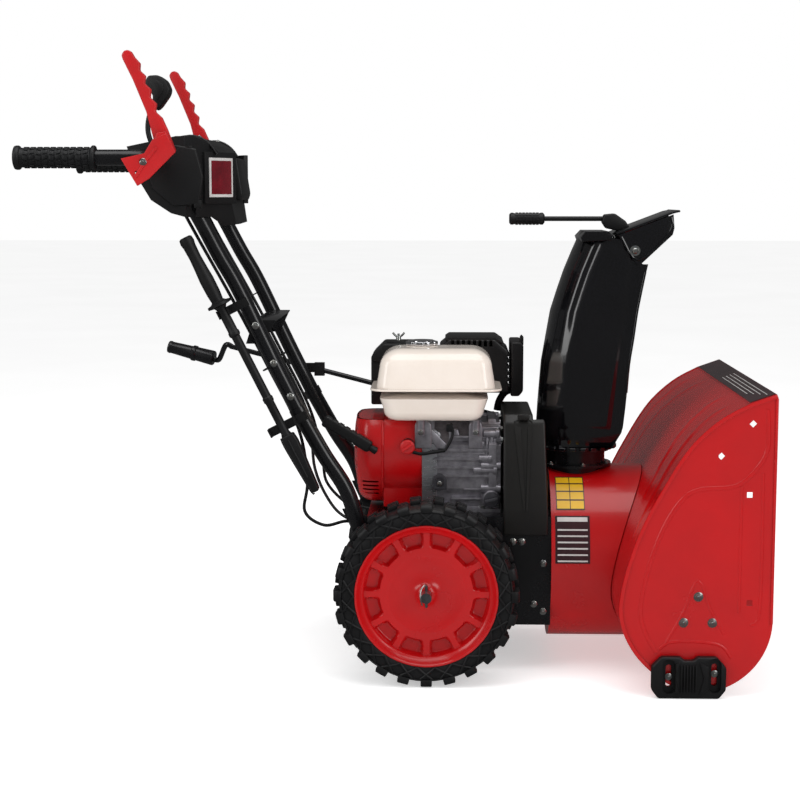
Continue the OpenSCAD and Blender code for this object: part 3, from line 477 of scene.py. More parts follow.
def pressedRim(rim):
    # the pockets are drawn down into the disc, so that ribs are left between them
    centre = wheel["centre"]
    middle = row(0, 0, centre[1])
    for vertex in rim.data.vertices:
        dx, dz = (vertex.co.x - middle.x) * 1000, (vertex.co.z - middle.z) * 1000
        radius = math.hypot(dx, dz)
        if 79 < radius < 111.5 and vertex.co.y < -0.2425:
            turn = (math.degrees(math.atan2(dz, dx)) + 360) % 30 - 15
            sideways = abs(math.radians(turn)) * radius
            room = 16.5 + (radius - 86) * 0.3
            inward = min(max((room - sideways) / 5, 0), 1) * min(max((radius - 83) / 5, 0), 1)
            inward *= min(max((111.5 - radius) / 3, 0), 1)
            vertex.co.y += 0.013 * inward * inward * (3 - 2 * inward)
    return rim


def makeWheel():
    centre = wheel["centre"]
    at = lambda r, y, degrees: (centre[0] + r * math.cos(math.radians(degrees)), y,
                                centre[1] + r * math.sin(math.radians(degrees)))
    carcass = spun("tyre_right_piece", [
        (113, -258), (113, -186), (127.4, -179.6), (127.4, -174.5), (133, -172), (141, -171.4),
                                        (149, -172.6),
        (153, -176), (156, -184), (157.5, -200), (157.5, -244), (156, -260), (153, -268),
                                        (149, -271.2),
        (141, -272.4), (133, -272), (127.4, -269.6), (127.4, -264.4)], centre, "y", 120)
    # one knob of the tread, staggered left and right; the outer one laps onto the sidewall
    knob = roundEdges(cutOut("knob", [(154, -9.5), (165, -8), (165, 8), (154, 9.5)], -238, -219,
                             "xz"), 1.6)
    knob.data.transform(Matrix.Translation((0, 0, centre[1] / 1000)))
    shoulder = cutOut("shoulder", [(158, -274), (150, -273.4), (149, -268), (154, -262),
                                   (154, -246), (165, -246),
                                   (165, -262), (163, -271)], -10, 10, "xy")
    shoulder.data.transform(Matrix.Translation((0, 0, centre[1] / 1000)))
    roundEdges(shoulder, 1.6)
    step = 360 / wheel["knobs"]
    mid = (0, -222, centre[1])
    across = Matrix.Translation((0, -0.222, 0)) @ Matrix.Scale(-1, 4,
            Vector((0, 1, 0))) @ Matrix.Translation((0, 0.222, 0))
    farKnob = copied(knob, turnedAbout(mid, "Y", step / 2) @ across)
    farShoulder = copied(shoulder, turnedAbout(mid, "Y", step / 2) @ across)
    tread = allRound(join([knob, shoulder, farKnob, farShoulder]), mid, "Y", wheel["knobs"])
    # crossed ribs that stand on the sidewall
    ribs = []
    for lean in (-11, 11):
        rib = rod("rib", [at(128.5, -272.4, 0), at(135, -273.6, lean * 0.35),
                          at(142, -273.6, lean * 0.7),
                          at(149.5, -271.6, lean)], 2.1, 2, 2)
        ribs.append(allRound(rib, mid, "Y", wheel["ribs"]))
    band = rod("band", [at(151.5, -271.2, 6 * k) for k in range(60)], 1.5, 0, 2, True)
    tyre = join([carcass, tread, band] + ribs, "tyre_right_piece")
    # rim: rolled lip, ring of pockets, dished centre
    rim = spun("rim_right_piece", [
        (127, -264), (128, -268), (127, -271.5), (124, -272), (121, -269), (118.5, -263),
                                   (114, -260.5),
        (112, -258.5), *[(r, -251.5 - 0.1 * max(r - 90, 0)) for r in range(111, 67, -2)],
                                   (62, -248.4), (52, -246.4), (40, -245.4),
        (30, -246.4), (22, -249.6), (17, -254), (14, -258), (9.6, -259), (9.6, -244), (40, -240),
                                   (58, -241), (64, -243),
        (70, -245), (96, -245), (104, -247), (108, -240), (109, -188), (124, -181), (124, -172.2),
                                   (126.8, -172.2),
        (126.8, -182), (112.6, -188), (112.6, -258)], centre, "y", 240)
    return tyre, pressedRim(rim)


tyreRight, rimRight = makeWheel()
tyreLeft = copied(tyreRight, acrossMiddle, "tyre_left_piece")
rimLeft = copied(rimRight, acrossMiddle, "rim_left_piece")
fit(tyreRight, stock["tyreCompound"], "wheels", ["tyre_right"])
fit(tyreLeft, stock["tyreCompound"], "wheels", ["tyre_left"])
fit(rimRight, stock["redPowderCoat"], "wheels", ["rim_right"], 50)
fit(rimLeft, stock["redPowderCoat"], "wheels", ["rim_left"], 50)
for side, flip in (("right", Matrix.Identity(4)), ("left", acrossMiddle)):
    clip = rod("wheel_clip_" + side, [(0, -267, axleZ - 21), (0, -267, axleZ + 17),
                                      (-3, -271, axleZ + 21),
                                      (-9, -277, axleZ + 14), (-10, -283, axleZ),
                                      (-7, -280, axleZ - 13)], 1.6)
    clip.data.transform(flip)
    if side == "left":
        clip.data.flip_normals()
    fit(clip, stock["zincPlate"], "wheels")
print("wheels made")

# auger housing

housing = {"half": 310, "sheet": 3, "beadRise": 1.7, "beadRadius": 5.5}
backLine = [(600, 516), (597, 531)] + [(p.x, p.y) for p in smoothLine([
    (552, 515, 0), (502, 487, 0), (452, 440, 0), (408, 370, 0), (368, 290, 0), (340, 200, 0),
        (336, 135, 0),
    (362, 76, 0), (410, 30, 0), (461, 6, 0)], 6)]


def offsetLine(line, away):
    # the same line, moved to its left
    moved = []
    for k, here in enumerate(line):
        before, after = line[max(k - 1, 0)], line[min(k + 1, len(line) - 1)]
        dx, dz = after[0] - before[0], after[1] - before[1]
        size = math.hypot(dx, dz)
        moved.append((here[0] - dz / size * away, here[1] + dx / size * away))
    return moved


def bead(name, points, y, radius=None, rise=None):
    # pressed bead on a side plate: a round bar sunk until only its crown shows
    radius, rise = radius or housing["beadRadius"], rise or housing["beadRise"]
    return rod(name, [(x, -(y - radius + rise), z) for x, z in points], radius, 5, 4)


def makeSidePlate():
    half = housing["half"]
    outline = backLine + arcPoints((469, 137), 131, -93, -2, 24)
    plate = cutOut("housing_side_right_piece", outline, -half, housing["sheet"] - half)
    holes = [cutOut("hole", [(x - d, z), (x, z - d), (x + d, z), (x, z + d)], -half - 5, 5 - half)
             for x, z, d in [(558, 480, 6.5), (505, 424, 6.5)]]
    holes += [cutOut("hole", [(x - d, z - d), (x + d, z - d), (x + d, z + d), (x - d, z + d)],
                     -half - 5, 5 - half)
              for x, z, d in [(555, 357, 5), (559, 168, 5)]]
    carve(plate, *holes)
    outer = [(582, 505), (584, 440), (566, 402), (530, 372), (470, 366), (440, 348), (410, 300),
             (385, 230),
             (372, 160), (379, 118), (400, 78)]
    beads = [bead("bead", outer, half),
             bead("bead", [(577, 395), (577, 160), (561, 128)], half, 4, 1.3),
             bead("bead", [(541, 372), (541, 150)], half, 4, 1.3),
             bead("bead", [(418, 98), (446, 150), (470, 206), (494, 152), (516, 112)], half, 4,
                  1.1),
             bead("bead", [(405, 84), (430, 98), (505, 94), (530, 70)], half, 4, 1.2)]
    # folded seam along the back edge, where the side plate laps over the shell
    seam = offsetLine(backLine[1:], 0)
    inner = offsetLine(backLine[1:], 7)
    lip = cutOut("lip", seam + inner[::-1], -half - 3.2, 1 - half)
    roundEdges(lip, 1.3, 2, 50)
    front = cutOut("front", [(595, 526), (600, 524), (600, 131), (595, 128)], -half - 2.4, 1 - half)
    roundEdges(front, 0.9)
    return join([plate, lip, front] + beads, "housing_side_right_piece")


def makeShell():
    inside = housing["half"] - housing["sheet"] - 0.1
    clearAll()
    back = backLine[2:]
    strips = 48
    bpy.ops.mesh.primitive_grid_add(x_subdivisions=len(back) - 1, y_subdivisions=strips)
    shell = bpy.context.object
    # creases drawn across the back: (y at the top, y at the bottom, first and last place along the
    # sheet, half width)
    ribs = [(-222, -262, 0.05, 0.5, 6), (-112, -205, 0.04, 0.42, 6), (112, 205, 0.04, 0.42, 6),
            (222, 262, 0.05, 0.5, 6)]
    tucked = offsetLine(back, 2.4)
    count = len(back)
    for index, vertex in enumerate(shell.data.vertices):
        along, across = index % count, index // count
        y = -inside + 2 * inside * across / strips
        share = along / (count - 1)
        lift = 0
        for top, low, start, end, width in ribs:
            middle = top + (low - top) * min(share / 0.5, 1)
            near = max(1 - abs(y - middle) / (width * 1.7), 0)
            ends = min(max((share - start) / 0.04, 0), 1) * min(max((end - share) / 0.04, 0), 1)
            lift = max(lift, min(near * 2, 1) * ends)
        (x, z), (tx, tz) = back[along], tucked[along]
        vertex.co = row(tx + (x - tx) * lift, y, tz + (z - tz) * lift)
    shell.name = shell.data.name = "housing_shell_piece"
    useModifier(shell, "SUBSURF", {"levels": 1, "render_levels": 1})
    useModifier(shell, "SOLIDIFY", {"thickness": 0.0024, "offset": 0})
    top = cutOut("top", [(600, 516), (597, 531), (551, 515), (551, 511.5), (595, 527), (597, 515)],
                 -inside, inside)
    return join([shell, top], "housing_shell_piece")


sideRight = makeSidePlate()
sideLeft = copied(sideRight, acrossMiddle, "housing_side_left_piece")
fit(sideRight, stock["redPowderCoat"], "chassis", ["housing_side_right"])
fit(sideLeft, stock["redPowderCoat"], "chassis", ["housing_side_left"])
fit(makeShell(), stock["redPowderCoat"], "chassis", ["housing_shell"])

# dark film across the front of the top, with plain pale lines
film = [(553, 515.8), (596, 531), (595.7, 531.6), (552.7, 516.4)]
fit(cutOut("housing_top_film", film, -303, 303), stock["darkFilm"])
stripes = [cutOut("stripe", [(x, z), (x + 1.4, z + 0.5), (x + 1.3, z + 0.9), (x - 0.1, z + 0.4)],
                  -285 + 25 * k, 60)
           for k, (x, z) in enumerate([(584, 527.3), (577, 524.8), (570, 522.3), (563, 519.8)])]
fit(join(stripes, "housing_film_stripes"), stock["paleFilm"])

# skid shoes: slotted plastic blocks with a ribbed waist
def makeShoe():
    half = housing["half"]
    outline = [(403, 0.6), (508, 0.6), (520, 16), (520, 56), (503, 74.5), (470, 74.5), (464, 68),
               (447, 68), (441, 74.5),
               (408, 74.5), (391, 58), (391, 16)]
    shoe = cutOut("skid_shoe_right_piece", outline, -half - 16, -half - 0.2)
    roundEdges(shoe, 3.5, 3, 25)
    cuts = []
    for x, low, high in [(421, 20, 60), (500, 22, 62)]:
        oval = arcPoints((x, high - 5), 5, 0, 180, 10) + arcPoints((x, low + 5), 5, 180, 360, 10)
        wide = arcPoints((x, high), 11, 0, 180, 10) + arcPoints((x, low), 11, 180, 360, 10)
        cuts += [cutOut("slot", oval, -half - 30, 5 - half),
                 cutOut("recess", wide, -half - 30, -half - 8)]
    for cut in cuts:
        carve(shoe, cut)
    fins = [box3("fin", (441 + 5 * k, 443.6 + 5 * k), (-half - 19.6, -half - 14), (13, 61), 0.8)
            for k in range(6)]
    cheeks = [cutOut("cheek", [(x - s * 3, 8), (x + s * 20, 22), (x + s * 20, 54), (x - s * 3, 66),
                               (x + s * 5, 38)],
                     -half - 18.6, -half - 14) for x, s in [(436, -1), (476, 1)]]
    for cheek in cheeks:
        roundEdges(cheek, 1.4, 2, 20)
        for x in (421, 500):
            carve(cheek, cutOut("slot", arcPoints((x, 60), 11.5, 0, 180, 10) + arcPoints((x, 20),
                    11.5, 180, 360, 10),
                                -half - 30, -half - 8))
    return join([shoe] + fins + cheeks, "skid_shoe_right_piece")


shoeRight = makeShoe()
shoeLeft = copied(shoeRight, acrossMiddle, "skid_shoe_left_piece")
fit(shoeRight, stock["blackGrainedAbs"], "chassis", ["skid_shoe_right"])
fit(shoeLeft, stock["blackGrainedAbs"], "chassis", ["skid_shoe_left"])
print("housing made")

# bolts: one flanged hexagon head with its chamfer and washer, copied to every place

def hexBolt(name, radius, washer=True):
    # stands on y = 0 and points towards -Y
    head = cutOut(name, arcPoints((0, 0), radius, 0, 300, 5), -radius * 0.75, -0.8)
    roundEdges(head, radius * 0.1, 2, 40)
    flange = spun("flange", [(0, -1.6), (radius * 1.15, -1.4), (radius * 1.35, -0.7),
                             (radius * 1.35, 0), (0, 0)], (0, 0),
                  "y", 24)
    stud = spun("stud", [(0, -radius * 1.05), (radius * 0.42, -radius * 1.05),
                         (radius * 0.5, -radius * 0.95),
                         (radius * 0.5, 0), (0, 0)], (0, 0), "y", 16)
    return join([head, flange, stud] if washer else [head, stud], name)


def setAlong(piece, place, way, name="bolt"):
    # moves a bolt made at the axle line so that it stands on place and points along way
    turn = Vector((0, -1, 0)).rotation_difference(Vector(way)).to_matrix().to_4x4()
    return copied(piece, Matrix.Translation(row(*place)) @ turn @ Matrix.Translation(-row(0, 0, 0)),
                  name)


bigBolt, smallBolt = hexBolt("big", 6.2), hexBolt("small", 4.8)
boltPlaces = []
for s in (-1, 1):
    way = (0, s, 0)
    boltPlaces += [(bigBolt, (x, s * 310, z), way) for x, z in [(471, 178), (446, 132), (496, 132)]]
    boltPlaces += [(smallBolt, (x, s * 318, z), way) for x, z in [(421, 38), (500, 44)]]
    boltPlaces += [(smallBolt, (x, s * 150, z), way) for x,
                   z in [(156, 240), (172, 240), (195, 124), (212, 200),
                                                                 (212, 110), (-84, 120), (60, 112)]]
    boltPlaces += [(smallBolt, (x, s * 168, z), way) for x,
                   z in [(-277, 567), (-247, 507), (-309, 635)]]
    boltPlaces += [(smallBolt, (x, s * 154, z), way) for x, z in [(-96, 252), (-72, 240)]]
    boltPlaces += [(smallBolt, (-488, s * 267.5, 924), way)]
boltPlaces += [(smallBolt, (278 + 62 * math.cos(math.radians(a)), 62 * math.sin(math.radians(a)),
                            366), (0, 0, 1))
               for a in range(40, 341, 60)]
fit(join([setAlong(*spot) for spot in boltPlaces], "body_bolts_piece"), stock["zincPlate"],
    "chassis",
    ["body_bolts"])
for spare in (bigBolt, smallBolt):
    bpy.data.objects.remove(spare)
print("bolts made:", len(boltPlaces))

# chute: one sheet bent round from the left front edge, behind, to the right front edge

chute = {"half": 75, "wall": 0.0022, "bulge": 3.2,
         # height, back, front, half width, roundness behind
         "levels": [(402, 214, 342, 64, 1.0), (412, 209, 348, 69, 1.0), (420, 205, 352, 73, 1.0),
                    (430, 204, 358, 75, 0.97), (442, 205, 361, 75, 0.94), (480, 207, 365, 75, 0.9),
                    (520, 210, 368, 75, 0.87), (558, 213, 371, 75, 0.85), (606, 221, 378, 75, 0.82),
                    (653, 229, 384, 75, 0.8), (692, 241, 391, 75, 0.8), (728, 253, 399, 75, 0.8),
                    (765, 268, 407, 75, 0.8), (802, 284, 414, 75, 0.8)]}
topOfSide = [(284, 802), (300, 801), (346, 789), (383, 783), (402, 744), (407, 742)]


def topAt(x):
    for (xa, za), (xb, zb) in zip(topOfSide, topOfSide[1:]):
        if xa <= x <= xb:
            return za + (zb - za) * (x - xa) / (xb - xa)
    return 802 if x < 284 else 742


def sectionAt(z):
    levels = chute["levels"]
    for low, high in zip(levels, levels[1:]):
        if low[0] <= z <= high[0]:
            t = (z - low[0]) / (high[0] - low[0])
            return [a + (b - a) * t for a, b in zip(low[1:], high[1:])]
    return levels[-1][1:]


def chutePoint(turn, z):
    # turn runs from -1 at the right front edge, through 0 at the back, to 1 at the left front edge
    back, front, half, roundness = sectionAt(z)
    side = 1 if turn > 0 else -1
    share = abs(turn)
    middle = back + half * roundness
    if share < 0.42:
        a = math.pi / 2 * share / 0.42
        return middle - half * roundness * math.cos(a), side * half * math.sin(a)
    t = (share - 0.42) / 0.58
    return middle + (front - middle) * t, side * half


def pressedOut(x, z):
    # the raised panel on each side, bounded by a long arch
    left = 222 + (z - 440) * 0.02 + max(z - 560, 0) * 0.34
    right = 338 + (z - 440) * 0.115
    top = 786 - max(x - 320, 0) * 0.25
    return min(max(min((z - 436) / 9, (x - left) / 30, (right - x) / 9, (top - z) / 16), 0), 1)


def makeChute():
    columns, rows = 96, 120
    clearAll()
    bpy.ops.mesh.primitive_grid_add(x_subdivisions=columns, y_subdivisions=rows)
    sheet = bpy.context.object
    for index, vertex in enumerate(sheet.data.vertices):
        turn = -1 + 2 * (index % (columns + 1)) / columns
        share = (index // (columns + 1)) / rows
        x, y = chutePoint(turn, 402 + 400 * share)
        z = 402 + (topAt(x) - 402) * share
        x, y = chutePoint(turn, z)
        if abs(turn) > 0.3:
            raised = pressedOut(x, z)
            y += math.copysign(chute["bulge"] * raised * raised * (3 - 2 * raised),
                               y) - math.copysign(2.2, y)
        vertex.co = row(x, y, z)
    sheet.name = sheet.data.name = "chute_body_piece"
    # the front is closed below and open above, as a channel
    tidyMesh(sheet)
    useModifier(sheet, "SOLIDIFY", {"thickness": chute["wall"], "offset": 0})
    lower = [(300, 402), (342, 402), (352, 420), (361, 442), (365, 480), (367, 502)]
    front = cutOut("front", [(x, z) for x, z in lower] + [(x - 2.2, z) for x,
                                                          z in reversed(lower[1:])], -73, 73)
    flange = spun("flange", [(56.6, 395), (78, 395), (78, 401), (57, 401.4)], (278, 0), "z", 96)
    teeth = [cutOut("gap", [(278 + 69 * math.cos(math.radians(a + 2.2 * k)),
                             69 * math.sin(math.radians(a + 2.2 * k)))
                            for k in (-1, 1)] + [(278 + 83 * math.cos(math.radians(a + 4)),
                                                  83 * math.sin(math.radians(a + 4))),
                                                 (278 + 83 * math.cos(math.radians(a - 4)),
                                                  83 * math.sin(math.radians(a - 4)))],
                    390, 405, "xy") for a in range(0, 360, 15)]
    carve(flange, *teeth)
    roundEdges(flange, 0.7, 1, 40)
    cap = cutOut("cap", [(281, 783), (278, 791), (288, 802), (330, 802), (337, 796), (334, 786)],
                 -76.4, 76.4)
    carve(cap, cutOut("inside", [(284, 770), (282, 790), (290, 799.6), (329, 799.6), (333, 795),
                                 (332, 770)], -73, 73))
    roundEdges(cap, 1.6, 3, 25)
    hem = [rod("hem", [(x - 1, s * 74.6, z) for x, z in
                       [(367, 505), (371, 558), (378, 606), (384, 653), (391, 692), (398, 728)]],
               2.2, 3, 4) for s in (-1, 1)]
    return join([sheet, front, flange, cap] + hem, "chute_body_piece")


def makeHood():
    outer = 80
    side = [(346, 795), (382, 740), (389, 743), (445, 796), (448, 808), (446, 833)]
    pieces = []
    for s in (-1, 1):
        plate = cutOut("plate", side, min(s * (outer - 2.5), s * outer),
                       max(s * (outer - 2.5), s * outer))
        ridge = rod("ridge", [(352, s * 79.6, 792), (384, s * 79.6, 750), (440, s * 79.6, 801),
                              (442, s * 79.6, 828)],
                    2.4, 4, 3)
        pieces += [roundEdges(plate, 0.8, 2), ridge]
    top = cutOut("top", [(344, 796), (446, 834.4), (457, 837), (456.5, 840), (445, 837.8),
                         (343, 799)], -outer, outer)
    pieces.append(roundEdges(top, 0.9, 2, 25))
    pieces += [rod("rib", [(360, y, 801.6), (400, y, 815.8), (440, y, 830.4)], 3, 3, 3)
               for y in (-52, 52)]
    pieces.append(rod("lip", [(456, -78, 838.6), (456, 78, 838.6)], 2.2, 0, 4))
    return join(pieces, "deflector_piece")


def makeHoodHandle():
    grip = spun("grip", [(0, 150), (8, 150), (11, 152.5), (11.4, 156), (10.2, 160), (10.4, 206),
                         (11.4, 209), (11.2, 213),
                         (7, 216), (0, 216)], (0, 824), "x", 32)
    pads = []
    for k in range(7):
        pad = cutOut("pad", [(162 + 6.4 * k, 833.6), (166 + 6.4 * k, 833.6),
                             (166.6 + 6.4 * k, 835.6), (161.4 + 6.4 * k, 835.6)],
                     -2.6, 2.6)
        pads.append(allRound(pad, (0, 0, 824), "X", 8))
    bar = rod("bar", [(214, 0, 824), (334, 0, 824)], 4.6, 0, 5)
    wedge = cutOut("wedge", [(322, 818), (330, 806), (352, 801.4), (374, 808.5), (366, 820),
                             (346, 834), (326, 832)], -13, 13)
    return join([grip, bar, roundEdges(wedge, 3, 3, 25)] + pads, "deflector_handle_piece")


fit(makeChute(), stock["blackGlossEnamel"], "chute", ["chute_body"])
fit(makeHood(), stock["blackGlossEnamel"], "hood", ["deflector"])
fit(makeHoodHandle(), stock["blackGrainedAbs"], "hood", ["deflector_handle"])
for side, way in (("right", -1), ("left", 1)):
    pivot = join([spun("pivot", [(0, 88), (3.5, 88), (5.2, 86.5), (6, 84), (6, 82), (9.5, 82),
                                 (9.5, 80.4), (0, 80.4)],
                       (377, 767), "y", 28)], "hood_pivot_" + side)
    if way < 0:
        pivot.data.transform(acrossMiddle)
        pivot.data.flip_normals()
    fit(pivot, stock["zincPlate"], "chute")
print("chute made")

# engine

def lathedBoss(name, x, y, z, radius, length, axis="x"):
    # cast boss with a softened rim
    start = {"x": x, "y": y, "z": z}[axis]
    centre = {"x": (y, z), "y": (x, z), "z": (x, y)}[axis]
    boss = spun(name, [(0, start), (radius * 0.9, start), (radius, start + radius * 0.12),
                       (radius, start + length - radius * 0.12), (radius * 0.9, start + length),
                       (0, start + length)],
                centre, axis, 28)
    return boss


def makeCrankcase():
    # the case is cast round the CAD block: deep body, ribs, bosses and tank brackets
    body = cutOut("body", [(38, 290), (134, 290), (134, 444), (92, 444), (88, 426), (60, 424),
                           (56, 440), (38, 440)], -96, -40)
    roundEdges(body, 4, 3, 25)
    pieces = [body]
    for z, x0, x1, deep in [(424, 44, 108, 108), (404, 44, 120, 104), (393, 44, 104, 106),
                            (380, 44, 104, 106),
                            (368, 44, 96, 105), (352, 66, 112, 108), (326, 66, 112, 106),
                            (308, 44, 104, 104)]:
        pieces.append(box3("rib", (x0, x1), (-deep, -90), (z, z + 4.5), 1.6))
    for x, low, high in [(106, 322, 432), (115, 318, 430), (122, 330, 424)]:
        pieces.append(box3("post", (x, x + 4.5), (-107, -90), (low, high), 1.6))
    for x, z, radius, length in [(102, 432, 7, 30), (94, 386, 7.5, 24), (84, 364, 8, 44),
                                 (84, 412, 6, 20)]:
        pieces.append(lathedBoss("boss", x, -104, z, radius, length))
        pieces.append(lathedBoss("boss", x + length - 8, -104, z, radius * 1.25, 8))
    # tank brackets: tall rounded arches, the left one with a sloping leg
    for x, width, eye in [(87.5, 25, 88), (-8.5, 31, -13)]:
        arch = [(x - width / 2, 405)] + [(x + width / 2 * math.cos(math.radians(a)) * -1,
                                          446 + 11 * math.sin(math.radians(a)))
                                         for a in range(0, 181, 15)]
        arch += [(x + width / 2, 405)]
        bracket = cutOut("bracket", arch, -112, -88)
        pieces.append(roundEdges(bracket, 2.5, 3, 25))
        pieces.append(spun("barrel", [(0, 430), (8.5, 430), (8.5, 457), (7, 458.6), (0, 458.6)],
                           (eye, -108), "z", 28))
        pieces.append(spun("eye", [(0, -117), (5, -117), (6.5, -115.5), (6.5, -110), (0, -110)],
                           (eye, 436), "y", 24))
    leg = cutOut("leg", [(-10, 446), (2, 446), (34, 414), (32, 398), (20, 398)], -110, -96)
    pieces.append(roundEdges(leg, 2, 2, 25))
    neck = spun("neck", [(0, -118), (12, -118), (15.5, -114), (16, -108), (19, -100), (0, -100)],
                (117, 312), "y", 40)
    pieces += [neck, box3("foot", (44, 132), (-98, -60), (285.4, 296), 2)]
    return join(pieces, "crankcase_casting")


crankcase = makeCrankcase()
fit(crankcase, stock["castAluminium"], "chassis")
fit(roundEdges(cutOut("crankcase_side_plate", [(-10.8, 292), (17, 292), (17, 398), (23, 410),
                                               (23, 432), (12, 440),
                                               (-10.8, 440)], -107, -80), 1.4, 2),
    stock["rolledAluminium"], "chassis")
lamp = cutOut("governor_cover", [(9, 329), (35, 329)] + arcPoints((22, 345), 13, 0, 180, 16), -114,
              -100)
carve(lamp, cutOut("window", [(15, 333), (29, 333)] + arcPoints((22, 344), 7, 0, 180, 12), -115,
                   -112.6))
fit(roundEdges(lamp, 1.6, 3, 25), stock["greyPaint"])
fit(join([rod("a", [(-30, -116, 400), (-12, -116, 396), (12, -114, 399), (32, -112, 402)], 3.2),
          rod("b", [(32, -112, 402), (42, -110, 420), (46, -106, 436), (42, -100, 450)], 2.6),
          box3("c", (34, 46), (-112, -102), (436, 450), 2)], "engine_wiring"), stock["softRubber"])
caps = [setAlong(hexBolt("small", 3.6), spot, (0, -1, 0)) for spot in
        [(88, -117, 436), (-13, -117, 436), (22, -114, 340), (128, -96, 436), (128, -96, 300)]]
fit(join(caps, "engine_small_bolts"), stock["zincPlate"])
for spare in [o for o in bpy.data.objects if o.name.startswith("small")]:
    bpy.data.objects.remove(spare)


def stacked(name, levels, steps=10):
    # rounded rectangles one above the other, closed at both ends: (z, x low, x high, y low, y high, corner)
    rings = []
    for z, x0, x1, y0, y1, r in levels:
        ring = []
        for k, (x, y) in enumerate([(x1 - r, y1 - r), (x0 + r, y1 - r), (x0 + r, y0 + r),
                                    (x1 - r, y0 + r)]):
            ring += arcPoints((x, y), r, 90 * k, 90 * k + 90, steps)
        rings.append([(x, y, z) for x, y in ring + ring[:1]])
    first, last = levels[0], levels[-1]
    for spot, level in ((0, first), (len(rings), last)):
        rings.insert(spot, [((level[1] + level[2]) / 2, (level[3] + level[4]) / 2,
                             level[0])] * len(rings[0]))
    clearAll()
    bpy.ops.mesh.primitive_grid_add(x_subdivisions=len(rings[0]) - 1, y_subdivisions=len(rings) - 1)
    piece = bpy.context.object
    piece.name = piece.data.name = name
    for vertex, place in zip(piece.data.vertices, [p for ring in rings for p in ring]):
        vertex.co = row(*place)
    return tidyMesh(piece)


tank = {"seam": 516, "upper": (-94, 123, -148, 8), "lower": (-92, 114, -148, 8),
        "flange": (-105, 135, -150, 10)}


def shrunk(z, box, by, corner):
    return (z, box[0] + by, box[1] - by, box[2] + by, box[3] - by, max(corner - by * 0.45, 6))


def makeTank():
    # pressed in two halves with a rolled seam between them
    seam = tank["seam"]
    dome = [shrunk(seam, tank["upper"], 0, 27), shrunk(524, tank["upper"], 0.4, 27),
            shrunk(557, tank["upper"], 6, 27)]
    for a in range(10, 91, 10):
        t = math.radians(a)
        dome.append(shrunk(557 + 33 * math.sin(t), tank["upper"], 6 + 40 * (1 - math.cos(t)), 27))
    bowl = []
    for a in range(90, -1, -10):
        t = math.radians(a)
        bowl.append(shrunk(479 - 21.5 * math.sin(t), tank["lower"], 11 + 22 * (1 - math.cos(t)),
                           27))
    bowl += [shrunk(500, tank["lower"], 4, 27), shrunk(seam, tank["lower"], 0, 27)]
    flange = [shrunk(seam - 2, tank["flange"], 2, 28), shrunk(seam - 1.4, tank["flange"], 0.4, 28),
              shrunk(seam - 0.6, tank["flange"], 0, 28), shrunk(seam + 1.6, tank["flange"], 0, 28),
              shrunk(seam + 2.4, tank["flange"], 0.5, 28),
              shrunk(seam + 2.8, tank["flange"], 2.4, 28)]
    neck = spun("neck", [(0, 585), (32, 585), (30, 590.6), (26, 592.2), (0, 592.2)], (-12, -60),
                "z", 48)
    return join([stacked("dome", dome), stacked("bowl", bowl), stacked("flange", flange), neck],
                "fuel_tank_piece")


fit(makeTank(), stock["creamEnamel"], "chassis", ["fuel_tank"], 45)
lobes = []
for k in range(144):
    a = math.radians(2.5 * k)
    r = 30 - 2.4 * max(0, math.cos(9 * a)) ** 4
    lobes.append((-12 + r * math.cos(a), -60 + r * math.sin(a)))
filler = roundEdges(cutOut("fuel_cap_piece", lobes, 592.4, 599, "xy"), 1.6, 3, 40)
crown = spun("crown", [(0, 598), (25, 598), (24, 600.4), (20, 601.4), (16, 600.4), (0, 600)],
             (-12, -60), "z", 60)
fit(join([filler, crown], "fuel_cap_piece"), stock["brightChrome"], "tank_cap",
    ["fuel_cap"])


shroud = {"flat": 454.8, "radius": 106, "back": -11, "split": -83}


def makeRecoil():
    cover = spun("recoil_cover_piece", [
        (0, -139), (40, -139), (46, -138.4), (60, -136), (76, -133.6), (90, -130.4), (97, -125),
                                        (102, -116),
        (104.6, -108), (105.6, -98), (106, -86), (107.4, -85.2), (107.4, -83.4), (102, -83.4),
                                        (101.6, -98),
        (99, -110), (93, -121), (86, -127), (58, -132.4), (40, -135), (0, -135)], (0, 394), "x",
                 120)
    cuts = [box3("top", (-142, -80), (-120, 120), (shroud["flat"], 520))]
    for a in range(12, 360, 24):
        slit = box3("slit", (-145, -120), (-2.6, 2.6), (394 + 54, 394 + 82))
        slit.data.transform(turnedAbout((0, 0, 394), "X", a))
        cuts.append(slit)
    for k in range(4):
        cuts.append(box3("vent", (-122, -92), (-140, -60), (312 + 8.5 * k, 315.4 + 8.5 * k)))
    carve(cover, *cuts)
    edge = [(-83.4, 106), (-86, 106), (-98, 105.6), (-108, 104.6), (-116, 102), (-125, 97),
            (-130.4, 90), (-133.6, 76),
            (-135.8, 62)]
    half = [(x, math.sqrt(r * r - (shroud["flat"] - 394) ** 2)) for x, r in edge]
    lid = cutOut("lid", half + [(x, -y) for x, y in reversed(half)], shroud["flat"] - 2.5,
                 shroud["flat"], "xy")
    return join([cover, lid], "recoil_cover_piece")


